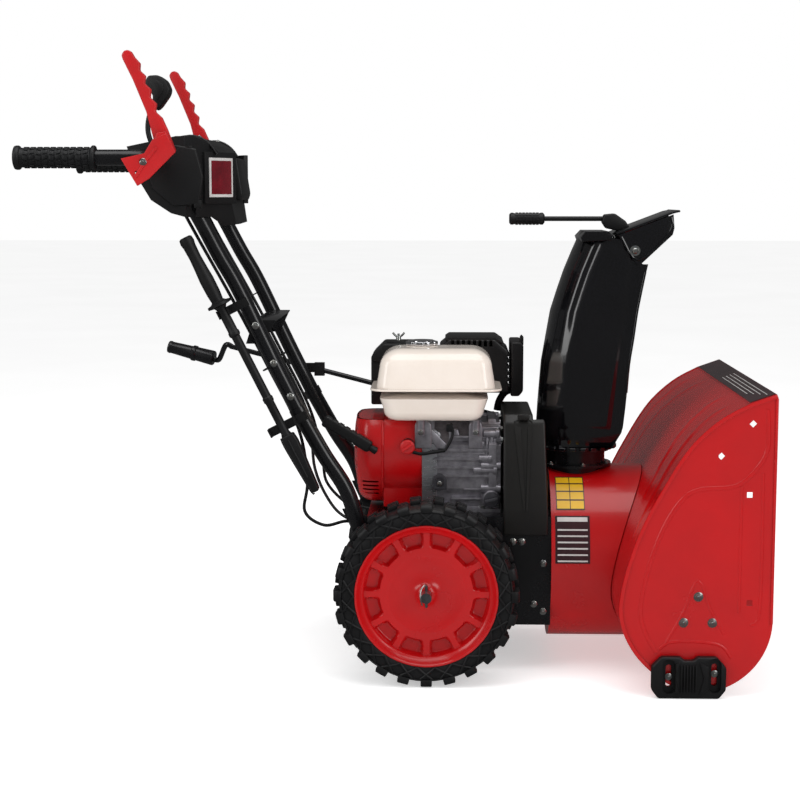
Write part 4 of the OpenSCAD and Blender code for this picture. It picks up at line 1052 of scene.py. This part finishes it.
def makeFanHousing():
    arcOf = lambda low, high: [(shroud["radius"] * math.cos(math.radians(a)),
                                394 + shroud["radius"] * math.sin(
        math.radians(a))) for a in range(low, high + 1, 3)]
    wall = [(-84, 291), (84, 291)] + arcOf(-40, 35) + arcOf(145, 220)
    casing = cutOut("fan_housing_piece", wall, shroud["split"] + 0.4, shroud["back"] + 0.2, "yz")
    pocket = [(y * 0.95, 394 + (z - 394) * 0.95) for y, z in wall]
    carve(casing, cutOut("pocket", pocket, shroud["split"] - 5, shroud["back"] - 4, "yz"))
    roundEdges(casing, 2, 2, 40)
    ledge = rod("ledge", [(shroud["split"], 106.4 * math.cos(math.radians(a)),
                           394 + 106.4 * math.sin(math.radians(a)))
                          for a in range(147, 222, 4)], 1.8, 0, 4)
    return join([casing, ledge], "fan_housing_piece")


fit(makeRecoil(), stock["redPowderCoat"], "chassis", ["recoil_cover"])
fit(makeFanHousing(), stock["redPowderCoat"], "chassis", ["fan_housing"])
switchAt = (-37, 411)
knob = spun("engine_switch_piece", [(0, -137.4), (11, -137.4), (13, -136), (13.4, -133),
                                    (13.4, -130.4), (12.4, -129.5),
                                    (0, -129.5)], switchAt, "y", 40)
wing = roundEdges(box3("wing", (-39.6, -34.4), (-142, -136), (399.5, 422.5)), 1.2, 3)
wing.data.transform(turnedAbout((switchAt[0], 0, switchAt[1]), "Y", 55))
stem = spun("stem", [(0, -130), (3.9, -130), (3.9, -110.5), (0, -110.5)], switchAt, "y", 24)
fit(join([knob, wing, stem], "engine_switch_piece"), stock["redMouldedPlastic"], "switch_knob",
    ["engine_switch"])
oil = spun("oil_cap_piece", [(0, -124), (11, -124), (13.6, -122.6), (14, -120), (14, -115),
                             (13, -113.6), (0, -113.6)],
           (117, 312), "y", 48)
tab = roundEdges(box3("tab", (104.4, 129.6), (-130.6, -123), (309, 315)), 1.5, 3)
tab.data.transform(turnedAbout((117, 0, 312), "Y", -14))
fit(join([oil, tab], "oil_cap_piece"), stock["greyPaint"], "sump_cap",
    ["oil_cap"])


def makeIntake():
    side = [(-110, 470.4), (8, 470.4), (9.5, 480), (9.5, 582), (4, 586), (-86, 586), (-110, 563)]
    body = roundEdges(cutOut("body", side, 15.2, 124.6), 5, 3, 25)
    lid = roundEdges(cutOut("lid", [(-107, 552), (8, 552), (8, 586.8), (-87, 586.8), (-107, 567)],
                            12, 127), 3, 3, 25)
    dome = spun("dome", [(0, 591), (14, 591), (22, 590), (25, 588), (25, 585), (0, 585)], (-59, 60),
                "z", 40)
    return join([body, lid, dome], "intake_box_piece")


fit(makeIntake(), stock["blackGrainedAbs"], "chassis", ["intake_box"])
wingNut = join([spun("hub", [(0, 591), (5.5, 591), (4.2, 597), (3.8, 599), (0, 599)], (-59, 60),
                     "z", 24)]
               + [rod("ear", [(-59 + s * 2, 60, 596), (-59 + s * 8, 60, 601),
                              (-59 + s * 11, 60, 605)], 2, 5, 4)
                  for s in (-1, 1)] + [rod("screw", [(-59, 60, 590), (-59, 60, 603)], 2.4, 0, 4)],
               "intake_wing_nut")
fit(wingNut, stock["zincPlate"])


def makeMuffler():
    guard = [(20, 493), (152, 493), (152, 574), (126, 595), (38, 595), (20, 580)]
    shell = roundEdges(cutOut("shell", guard, 20.2, 147.8), 4, 3, 25)
    slots = [box3("slot", (42 + 10.4 * k, 48 + 10.4 * k), (12, 60), (582, 604)) for k in range(8)]
    slots += [box3("slot", (42 + 10.4 * k, 48 + 10.4 * k), (100, 156), (582, 604))
              for k in range(8)]
    slots += [box3("slot", (148, 158), (12, 156), (510 + 12 * k, 515 + 12 * k)) for k in range(5)]
    carve(shell, *slots)
    visor = roundEdges(cutOut("visor", [(36, 592), (126, 592), (140, 586), (143, 589), (128, 599.4),
                                        (38, 599.4), (30, 594)],
                              22, 146), 1.6, 2, 25)
    outlet = roundEdges(cutOut("outlet", [(156, 486), (172, 486), (180, 496), (180, 584),
                                          (176, 590), (156, 590)], 24, 144), 4,
                        4, 25)
    hook = roundEdges(cutOut("hook", [(172, 584), (180, 584), (180, 600), (176, 604), (173, 600)],
                             26, 40), 1.4, 2)
    strap = rod("strap", [(158, 84, 492), (146, 84, 486), (136, 84, 470), (132, 84, 452)], 7, 5, 6)
    pipe = rod("pipe", [(80, 103, 433), (80, 103, 470), (80, 100, 494)], 12, 4, 8)
    return join([shell, visor, outlet, hook, strap, pipe], "muffler_piece")


fit(makeMuffler(), stock["heatProofBlack"], "chassis", ["muffler"])


def makeStarterGrip():
    # drawn lying along X, then turned to the direction it is pulled in
    body = cutOut("body", [(14, -125), (34, -125), (114, -125), (114, -103), (34, -103),
                           (14, -108)], -11, 11, "xy")
    roundEdges(body, 5, 4, 15)
    carve(body, *[box3("groove", (46 + 13 * k, 50 + 13 * k), (-130, -98), (side, side + 4))
                  for k in range(5)
                  for side in (-12.6, 8.6)])
    cord = rod("cord", [(0, -117, 0), (16, -117, 0)], 2.6, 0, 4)
    ferrule = spun("ferrule", [(0, 1), (6, 1), (7, 3), (6.4, 15), (0, 15)], (-117, 0), "x", 24)
    grip = join([body, cord, ferrule], "starter_grip_piece")
    turn = Matrix.Rotation(math.radians(180 + 30.8), 4, "Y")
    grip.data.transform(Matrix.Translation(row(-93, 0, 400)) @ turn @ Matrix.Translation(-row(0, 0,
            0)))
    return grip


fit(makeStarterGrip(), stock["blackGrainedAbs"], "starter", ["starter_grip"])
print("engine made")

# belt cover: one moulding, set back in front of the chute, with two ridges that run together
# towards its foot

coverSide = [(252, -156), (300, -156), (455, -125), (470, -110)]


def onCoverSide(z):
    for (za, ya), (zb, yb) in zip(coverSide, coverSide[1:]):
        if z <= zb:
            return ya + (yb - ya) * (z - za) / (zb - za)
    return coverSide[-1][1]


def makeBeltCover():
    outline = [(-156, 252), (156, 252), (156, 300), (94, 400), (92, 455), (80, 470), (-110, 470),
               (-125, 455), (-156, 300)]
    body = cutOut("body", outline, 138.6, 219.6, "yz")
    carve(body, box3("recess", (192.5, 230), (-117.5, 200), (356, 480)))
    for vertex in body.data.vertices:
        # the front of the arm leans back towards its top
        if vertex.co.x > row(210, 0, 0).x and vertex.co.z > row(0, 0, 340).z:
            vertex.co.x -= 0.006 * (vertex.co.z - row(0, 0, 340).z) / 0.13
    roundEdges(body, 5, 4, 15)
    ridges = []
    for shape in [[(157, 458), (169, 462), (178, 300), (174.5, 296)],
                  [(183, 462), (191, 458), (182.5, 296), (179.5, 300)]]:
        ridge = cutOut("ridge", shape, -10, 10)
        useModifier(ridge, "SUBSURF", {"subdivision_type": "SIMPLE", "levels": 3,
                                       "render_levels": 3})
        for vertex in ridge.data.vertices:
            z = (vertex.co.z - row(0, 0, 0).z) * 1000
            vertex.co.y = (onCoverSide(z) + (-1.8 if vertex.co.y < 0 else 3)) / 1000
        ridges.append(roundEdges(ridge, 1, 2, 50))
    catch = roundEdges(cutOut("catch", [(164, 468), (186, 468), (184, 461), (166, 461)], -132,
                              -112), 1, 2)
    return join([body, catch] + ridges, "belt_cover_piece")


fit(makeBeltCover(), stock["greyBlackPolypropylene"], "chassis", ["belt_cover"])

# drum labels: plain coloured film with empty fields

def drumPatch(name, x, angles, rise, thick=0.35):
    # curved patch on the drum's right side, between two angles above the level
    outside = [(-(163 + rise) * math.cos(math.radians(a)),
                197 + (163 + rise) * math.sin(math.radians(a)))
               for a in range(angles[0], angles[1] + 1)]
    inside = [(-(163 + rise - thick) * math.cos(math.radians(a)),
               197 + (163 + rise - thick) * math.sin(math.radians(a)))
              for a in range(angles[1], angles[0] - 1, -1)]
    return cutOut(name, outside + inside, x[0], x[1], "yz")


fit(drumPatch("drum_label_dark", (233, 296), (2, 33), 0.5), stock["darkFilm"])
fit(drumPatch("drum_label_head", (237, 292), (29, 32), 0.8), stock["paleFilm"])
fit(join([drumPatch("field", (237, 292), (3 + 4 * k, 3 + 4 * k + 1), 0.7, 0.3) for k in range(6)],
         "drum_label_lines"),
    stock["paleFilm"])
fit(drumPatch("drum_label_yellow", (236, 288), (37, 66), 0.5), stock["yellowFilm"])
frames = [drumPatch("frame", (236, 288), (a, a + 1), 0.8) for a in (37, 44, 51, 58, 65)]
frames += [drumPatch("frame", (x, x + 1.4), (37, 66), 0.8) for x in (236, 261, 286.6)]
fit(join(frames, "drum_label_frame"), stock["darkFilm"])

# handles

handle = {"tube": 14, "y": 154, "gripY": 246}
tubeLine = [(-126, 268), (-148, 336), (-189, 401), (-233, 479), (-277, 567), (-339, 698),
            (-374, 760), (-412, 832)]


def makeUpper():
    bend = [(x, -handle["y"], z) for x, z in tubeLine[3:]]
    bend += [(-446, -160, 888), (-474, -178, 922), (-490, -206, 932), (-494, -232, 932),
             (-506, -246, 932),
             (-560, -246, 932), (-640, -246, 932), (-712, -246, 932)]
    tube = rod("upper_handle_right_piece", bend, handle["tube"], 8, 7)
    boss = spun("boss", [(0, -270), (3.8, -270), (3.8, -262), (9, -261.2), (10, -260), (10, -240),
                         (0, -240)], (-490, 926),
                "y", 32)
    return join([tube, boss], "upper_handle_right_piece")


def makeLower():
    sides = []
    for s in (-1, 1):
        sides.append(rod("tube", [(x, s * handle["y"], z) for x, z in tubeLine[:4]],
                         handle["tube"] + 0.6, 10, 7))
        foot = cutOut("foot", [(-156, 300), (-138, 300), (-60, 262), (-60, 226), (-122, 226)],
                      s * 150.2, s * 154)
        sides.append(roundEdges(foot, 1.2, 2, 20) if s > 0
                     else roundEdges(tidyMesh(foot), 1.2, 2, 20))
        collar = rod("collar", [(-229, s * 154, 471), (-236, s * 154, 485)], 16.4, 0, 7)
        sides.append(collar)
    return join(sides, "lower_handles_piece")


upperRight = makeUpper()
upperLeft = copied(upperRight, acrossMiddle, "upper_handle_left_piece")
fit(upperRight, stock["blackPowderCoat"], "chassis", ["upper_handle_right"])
fit(upperLeft, stock["blackPowderCoat"], "chassis", ["upper_handle_left"])
fit(makeLower(), stock["blackPowderCoat"], "chassis", ["lower_handles"])


def makeGrip():
    core = spun("hand_grips_piece", [
        (0, -716), (17, -716), (20, -714.6), (21, -712), (21, -707.5), (19.6, -705.4),
                                     (17.4, -704.4), (17, -702),
        (17, -584), (17.6, -582), (20, -580.4), (21, -579), (21, -575.4), (20, -574), (14.2, -574),
                                     (14.2, -712),
        (0, -712)], (-handle["gripY"], 932), "x", 64)
    # slanted tread blocks in five bands round the grip
    pads = []
    for k in range(10):
        x = -698 + 11.6 * k
        lean = 4 if k % 2 else -4
        pad = cutOut("pad", [(x, -3.4), (x + 8.4, -3.4 + lean * 0.5), (x + 8.4, 3.4 + lean * 0.5),
                             (x, 3.4)], 16.2, 18.5, "xy")
        roundEdges(pad, 0.7, 2, 40)
        pad.data.transform(Matrix.Translation((0, -handle["gripY"] / 1000, 0.932)))
        pads.append(allRound(pad, (0, -handle["gripY"], 932), "X", 12))
    return join([core] + pads, "hand_grips_piece")


gripRight = makeGrip()
gripLeft = copied(gripRight, acrossMiddle)
fit(join([gripRight, gripLeft], "hand_grips_piece"), stock["softRubber"], "chassis",
    ["hand_grips"])

lever = {"plate": [(-527, 930), (-499, 883), (-478, 896), (-432, 941), (-448, 973), (-472, 962),
                   (-486, 939)],
         "blade": [(-434, 942), (-448, 980), (-457, 1000), (-468, 1010), (-466, 1024), (-477, 1034),
                   (-475, 1048),
                   (-486, 1058), (-484, 1071), (-494, 1080), (-493, 1092), (-503, 1103),
                   (-508, 1112), (-514, 1115),
                   (-521, 1113), (-525, 1106), (-523, 1099), (-506, 1064), (-484, 1010),
                   (-470, 955)]}


def makeLever():
    inner = handle["gripY"]
    plate = roundEdges(cutOut("plate", lever["plate"], -inner - 21, -inner - 15.8), 1.4, 3, 20)
    carve(plate, cutOut("hole", arcPoints((-488, 924), 4.2, 0, 345, 23), -inner - 25, -inner - 10),
          cutOut("hole", arcPoints((-500, 906), 3.2, 0, 345, 23), -inner - 25, -inner - 10))
    blade = roundEdges(cutOut("blade", lever["blade"], -inner - 7, 7 - inner), 2.4, 3, 25)
    web = roundEdges(cutOut("web", [(-470, 958), (-434, 945), (-448, 976), (-464, 974)],
                            -inner - 20, -inner), 1.6, 3, 25)
    rib = roundEdges(cutOut("rib", [(-505, 899), (-484, 930), (-466, 950), (-462, 948), (-480, 926),
                                    (-500, 896)],
                            -inner - 22.6, -inner - 18), 1, 2, 25)
    return join([plate, blade, web, rib], "drive_lever_piece")


driveLever = makeLever()
augerLever = copied(driveLever, acrossMiddle, "auger_lever_piece")
fit(driveLever, stock["redMouldedPlastic"], "drive_clutch", ["drive_lever"])
fit(augerLever, stock["redMouldedPlastic"], "auger_clutch", ["auger_lever"])


def makeDash():
    outline = [(-352, 817), (-375, 942), (-387, 957), (-410, 970), (-439, 970), (-526, 952),
               (-506, 894), (-485, 859),
               (-450, 836), (-424, 829), (-389, 829), (-370, 812)]
    body = cutOut("dash_panel_piece", outline, -215, 215)
    hollow = [(-358, 824), (-379, 939), (-390, 953), (-411, 965.6), (-438, 965.6), (-520, 949),
              (-502, 896), (-482, 862),
              (-448, 840), (-424, 833), (-389, 833), (-371, 818)]
    inside = cutOut("hollow", hollow, -211, 211)
    for s in (-1, 1):
        carve(body, cutOut("corner", [(-338, s * 58), (-428, s * 222), (-300, s * 222)], 790, 1000,
                           "xy"))
        carve(inside, cutOut("corner", [(-346, s * 50), (-444, s * 228), (-300, s * 228)], 790,
                             1000, "xy"))
    roundEdges(body, 6, 3, 12)
    carve(body, inside)
    carve(body, box3("under", (-478, -410), (-200, 200), (800, 868)))
    carve(body, box3("slot", (-532, -502), (-46, 46), (934, 980)))
    # fairing over each tube bend, and the frame that stands in front for the emblem
    fairings = []
    for s in (-1, 1):
        side = roundEdges(cutOut("fairing", [(-500, 940), (-440, 955), (-404, 948), (-392, 900),
                                             (-400, 852), (-446, 848),
                                             (-482, 878)], s * 212, s * 219), 3, 3, 15)
        fairings.append(tidyMesh(side))
    frameFace = cutOut("emblem", [(-358, 860), (-371, 931), (-361, 937), (-352, 934), (-342, 870),
                                  (-346, 858)], -62, 62)
    roundEdges(frameFace, 3.4, 3, 20)
    hub = rod("pin", [(-490, 0, 874), (-463, 0, 874)], 4, 0, 5)
    web = roundEdges(box3("web", (-466, -462), (-14, 14), (862, 962)), 0.8)
    for s in (-1, 1):
        for x, z in [(-424, 946), (-420, 924), (-416, 900), (-412, 876), (-409, 852)]:
            low, high = sorted((s * 206, s * 218.5))
            fairings.append(roundEdges(box3("tooth", (x, x + 13), (low, high), (z - 7, z + 7)), 1.6,
                                       2))
    rails = [rod("rail", [(-377, y, 940), (-390, y, 958), (-411, y, 970.4), (-438, y, 970.4),
                          (-520, y, 953)], 2.6, 3, 4)
             for y in (-150, 150)]
    return join([body, frameFace, hub, web] + fairings + rails, "dash_panel_piece")


fit(makeDash(), stock["blackGrainedAbs"], "chassis", ["dash_panel"])
# a frame and a plain wine badge on each slanted face
slant = Vector((-90, -164, 0)).normalized()
outward = Vector((164, -90, 0)).normalized()
for s, side in ((1, "right"), (-1, "left")):
    for name, low, high, start, end, out, film in [
            ("dash_frame_", 852, 944, 34, 128, 5, "blackGrainedAbs"),
                                                   ("dash_edge_", 864, 934, 46, 116, 6.2,
                                                    "paleFilm"),
            ("dash_badge_", 869, 929, 51, 111, 7, "wineFilm")]:
        corners = [Vector((-338, -58, 0)) + slant * t + outward * d for t, d in
                   [(start, -4), (end, -4), (end, out), (start, out)]]
        plate = cutOut(name + side, [(p.x, p.y * s) for p in corners], low, high, "xy")
        fit(roundEdges(plate, 1, 2), stock[film])
badge = {"low": (-348.4, 870), "high": (-358, 926), "half": 52}
for name, inset, out, film in [("dash_badge_edge", 0, 3.2, "paleFilm"),
                               ("dash_badge_field", 5, 3.8, "wineFilm")]:
    (xa, za), (xb, zb) = badge["low"], badge["high"]
    t = inset / 56
    low, high = (xa + (xb - xa) * t, za + inset), (xb - (xb - xa) * t, zb - inset)
    strip = [(low[0], low[1]), (high[0], high[1]), (high[0] + out, high[1] + out * 0.2),
             (low[0] + out, low[1] + out * 0.2)]
    half = badge["half"] - inset
    fit(roundEdges(cutOut(name, strip, -half, half), 0.8, 2), stock[film])
fit(join([setAlong(hexBolt("small", 3.4), (x, y, 971), (0, 0, 1)) for x in (-432, -412)
          for y in (-120, 120)],
         "dash_screws"), stock["zincPlate"])
for spare in [o for o in bpy.data.objects if o.name.startswith("small")]:
    bpy.data.objects.remove(spare)

head = [(-528, 1076), (-522, 1088), (-503, 1089), (-488, 1079), (-481, 1063), (-484, 1052),
        (-500, 1030), (-508, 1024),
        (-517, 1030), (-513, 1052), (-524, 1064)]
ball = roundEdges(cutOut("knob", head, -19, 19), 4, 2, 12)
inlay = roundEdges(cutOut("inlay", [(-518, 1078), (-506, 1080), (-494, 1072), (-492, 1062),
                                    (-505, 1042), (-508, 1058)],
                          -20.4, 20.4), 1.2, 2, 25)
stalk = rod("stalk", [(-478, 0, 881), (-498, 0, 920), (-516, 0, 955), (-526, 0, 984),
                      (-524, 0, 1012), (-512, 0, 1040)],
            4.8, 6, 5)
bossShift = spun("boss", [(4.1, -484), (8, -484), (9, -483), (9, -471), (8, -470), (4.1, -470)],
                 (0, 874), "x", 32)
sleeve = spun("sleeve", [(0, 1030), (9, 1030), (10, 1032), (11, 1042), (0, 1044)], (-511, 0), "z",
              24)
fit(join([ball, inlay, stalk, bossShift, sleeve], "shift_lever_piece"), stock["blackGrainedAbs"],
    "shifter",
    ["shift_lever"])
fit(join([roundEdges(box3("bar", (-316, -276), (-139.6, 139.6), (640, 643)), 1)]
         + [roundEdges(tidyMesh(cutOut("tab", [(-330, 600), (-296, 600), (-276, 643), (-316, 643)],
                                       s * 136.8, s * 139.8)), 0.9)
            for s in (-1, 1)], "handle_brace_piece"), stock["blackPowderCoat"], "chassis",
    ["handle_brace"])

# cables in their sheaths, with the ties that hold them
cables = {
    "right": [(-446, -140, 850), (-415, -132, 790), (-350, -132, 672), (-290, -132, 556),
              (-236, -132, 444),
              (-220, -138, 350), (-225, -138, 292), (-190, -136, 266), (-150, -128, 272),
              (-111, -118, 266)],
    "left": [(-446, 140, 850), (-415, 132, 790), (-350, 132, 672), (-290, 132, 556),
             (-236, 132, 444), (-214, 138, 350),
             (-205, 136, 300), (-170, 130, 262), (-140, 122, 254), (-111, 112, 250)],
    "shift": [(-462, 60, 856), (-420, 100, 796), (-362, 124, 680), (-298, 124, 560),
              (-240, 124, 436), (-226, 110, 330),
              (-190, 84, 262), (-150, 62, 236), (-111, 52, 230)],
}
sheaths = [rod(name, line, 3, 8, 4) for name, line in cables.items()]
for x, y, z in [(-350, -132, 672), (-290, -132, 556), (-350, 132, 672), (-290, 132, 556)]:
    sheaths.append(rod("tie", [(x + 9 * math.cos(math.radians(a)) * 0.9,
                                y + math.copysign(11, y) + 18 * math.sin(
        math.radians(a)), z + 9 * math.cos(math.radians(a)) * 0.45) for a in range(0, 360, 30)],
        1.3, 0, 3, True))
fit(join(sheaths, "control_cables_piece"), stock["softRubber"], "chassis",
    ["control_cables"])
print("handles made")

# chute crank and cleaning tool

rodPoint = Vector((278, 86.5, 404))
rodWay = Vector((1, -0.178, -0.235)).normalized()
rodBack = rodPoint - 711 * rodWay
crankArm = rodBack + Vector((-38, 36, -28))


def lathedAlong(name, profile, start, way, steps=32):
    # profile of (radius, distance) turned about a line in any direction
    piece = spun(name, profile, (0, 0), "z", steps)
    turn = Vector((0, 0, 1)).rotation_difference(way).to_matrix().to_4x4()
    piece.data.transform(Matrix.Translation(row(*start)) @ turn @ Matrix.Translation(-row(0, 0, 0)))
    return piece


def makeCrank():
    shaft = rod("shaft", [tuple(rodBack), tuple(rodPoint + 30 * rodWay)], 5, 0, 5)
    bend = rod("bend", [tuple(rodBack + 4 * rodWay), tuple(rodBack - 10 * rodWay),
                        tuple(crankArm + 10 * rodWay),
                        tuple(crankArm - 4 * rodWay)], 5.4, 6, 5)
    grip = lathedAlong("grip", [(0, 0), (13.5, 0), (15, 1.5), (15.2, 6), (14, 38), (15.8, 40),
                                (16, 44), (15.8, 47),
                                (13.6, 49), (12, 92), (13, 96), (12, 99.5), (9, 100), (0, 100)],
                       crankArm, -rodWay)
    hub = lathedAlong("hub", [(0, -26), (6.4, -26), (6.8, -25), (6.8, 25), (6.4, 26), (0, 26)],
                      rodPoint, rodWay)
    side = rodWay.cross(Vector((0, 0, 1))).normalized()
    up = side.cross(rodWay)
    thread = []
    for k in range(81):
        a = math.radians(9 * k - 360)
        thread.append(rodPoint - 20 * a / math.tau * rodWay + 10.4
                      * (math.cos(a) * side + math.sin(a) * up))
    worm = rod("worm", [tuple(p) for p in thread], 2.6, 0, 3)
    return join([shaft, bend, grip, hub, worm], "chute_crank_piece")


fit(makeCrank(), stock["blackPowderCoat"], "crank", ["chute_crank"])
toolEnd, toolWay = Vector((-431, -185, 793)), Vector((0.45, 0, -0.893)).normalized()


def makeTool():
    stick = lathedAlong("stick", [(0, 0), (9, 0), (12, 2), (13, 10), (11.4, 18), (10.6, 40),
                                  (11.6, 62), (13, 84), (12.6, 110),
                                  (11, 126), (15, 129), (22, 130.5), (22, 135.4), (12, 137),
                                  (9, 142), (9, 186), (10.4, 188),
                                  (10.4, 194), (8, 197), (8, 318), (9.6, 320), (9.6, 327), (8, 330),
                                  (8, 390), (10, 396),
                                  (10, 404), (0, 404)], toolEnd, toolWay, 40)
    across = Vector((0, 1, 0)).cross(toolWay).normalized()
    blade = [(396, 10, -13), (412, 11, -15), (450, 9, -13), (506, 5, -9), (510, 2, -8)]
    outline = [toolEnd + s * toolWay + w * across for s, w, v in blade] + \
              [toolEnd + s * toolWay + v * across for s, w, v in reversed(blade)]
    plate = roundEdges(cutOut("blade", [(p.x, p.z) for p in outline], -198, -174), 2.4, 3, 30)
    rims = [rod("rim", [tuple(toolEnd + s * toolWay + w * across + Vector((0, -11.5, 0))) for s, w,
                        v in blade], 2, 3, 4)]
    spine = rod("spine", [tuple(toolEnd + s * toolWay + Vector((0, -12, 0)))
                          for s in (404, 440, 480)], 2.6, 3, 4)
    return join([stick, plate, spine] + rims, "cleaning_tool_piece")


fit(makeTool(), stock["blackGrainedAbs"], "tool", ["cleaning_tool"])
print("crank and cleaning tool made")

print("all pieces made")
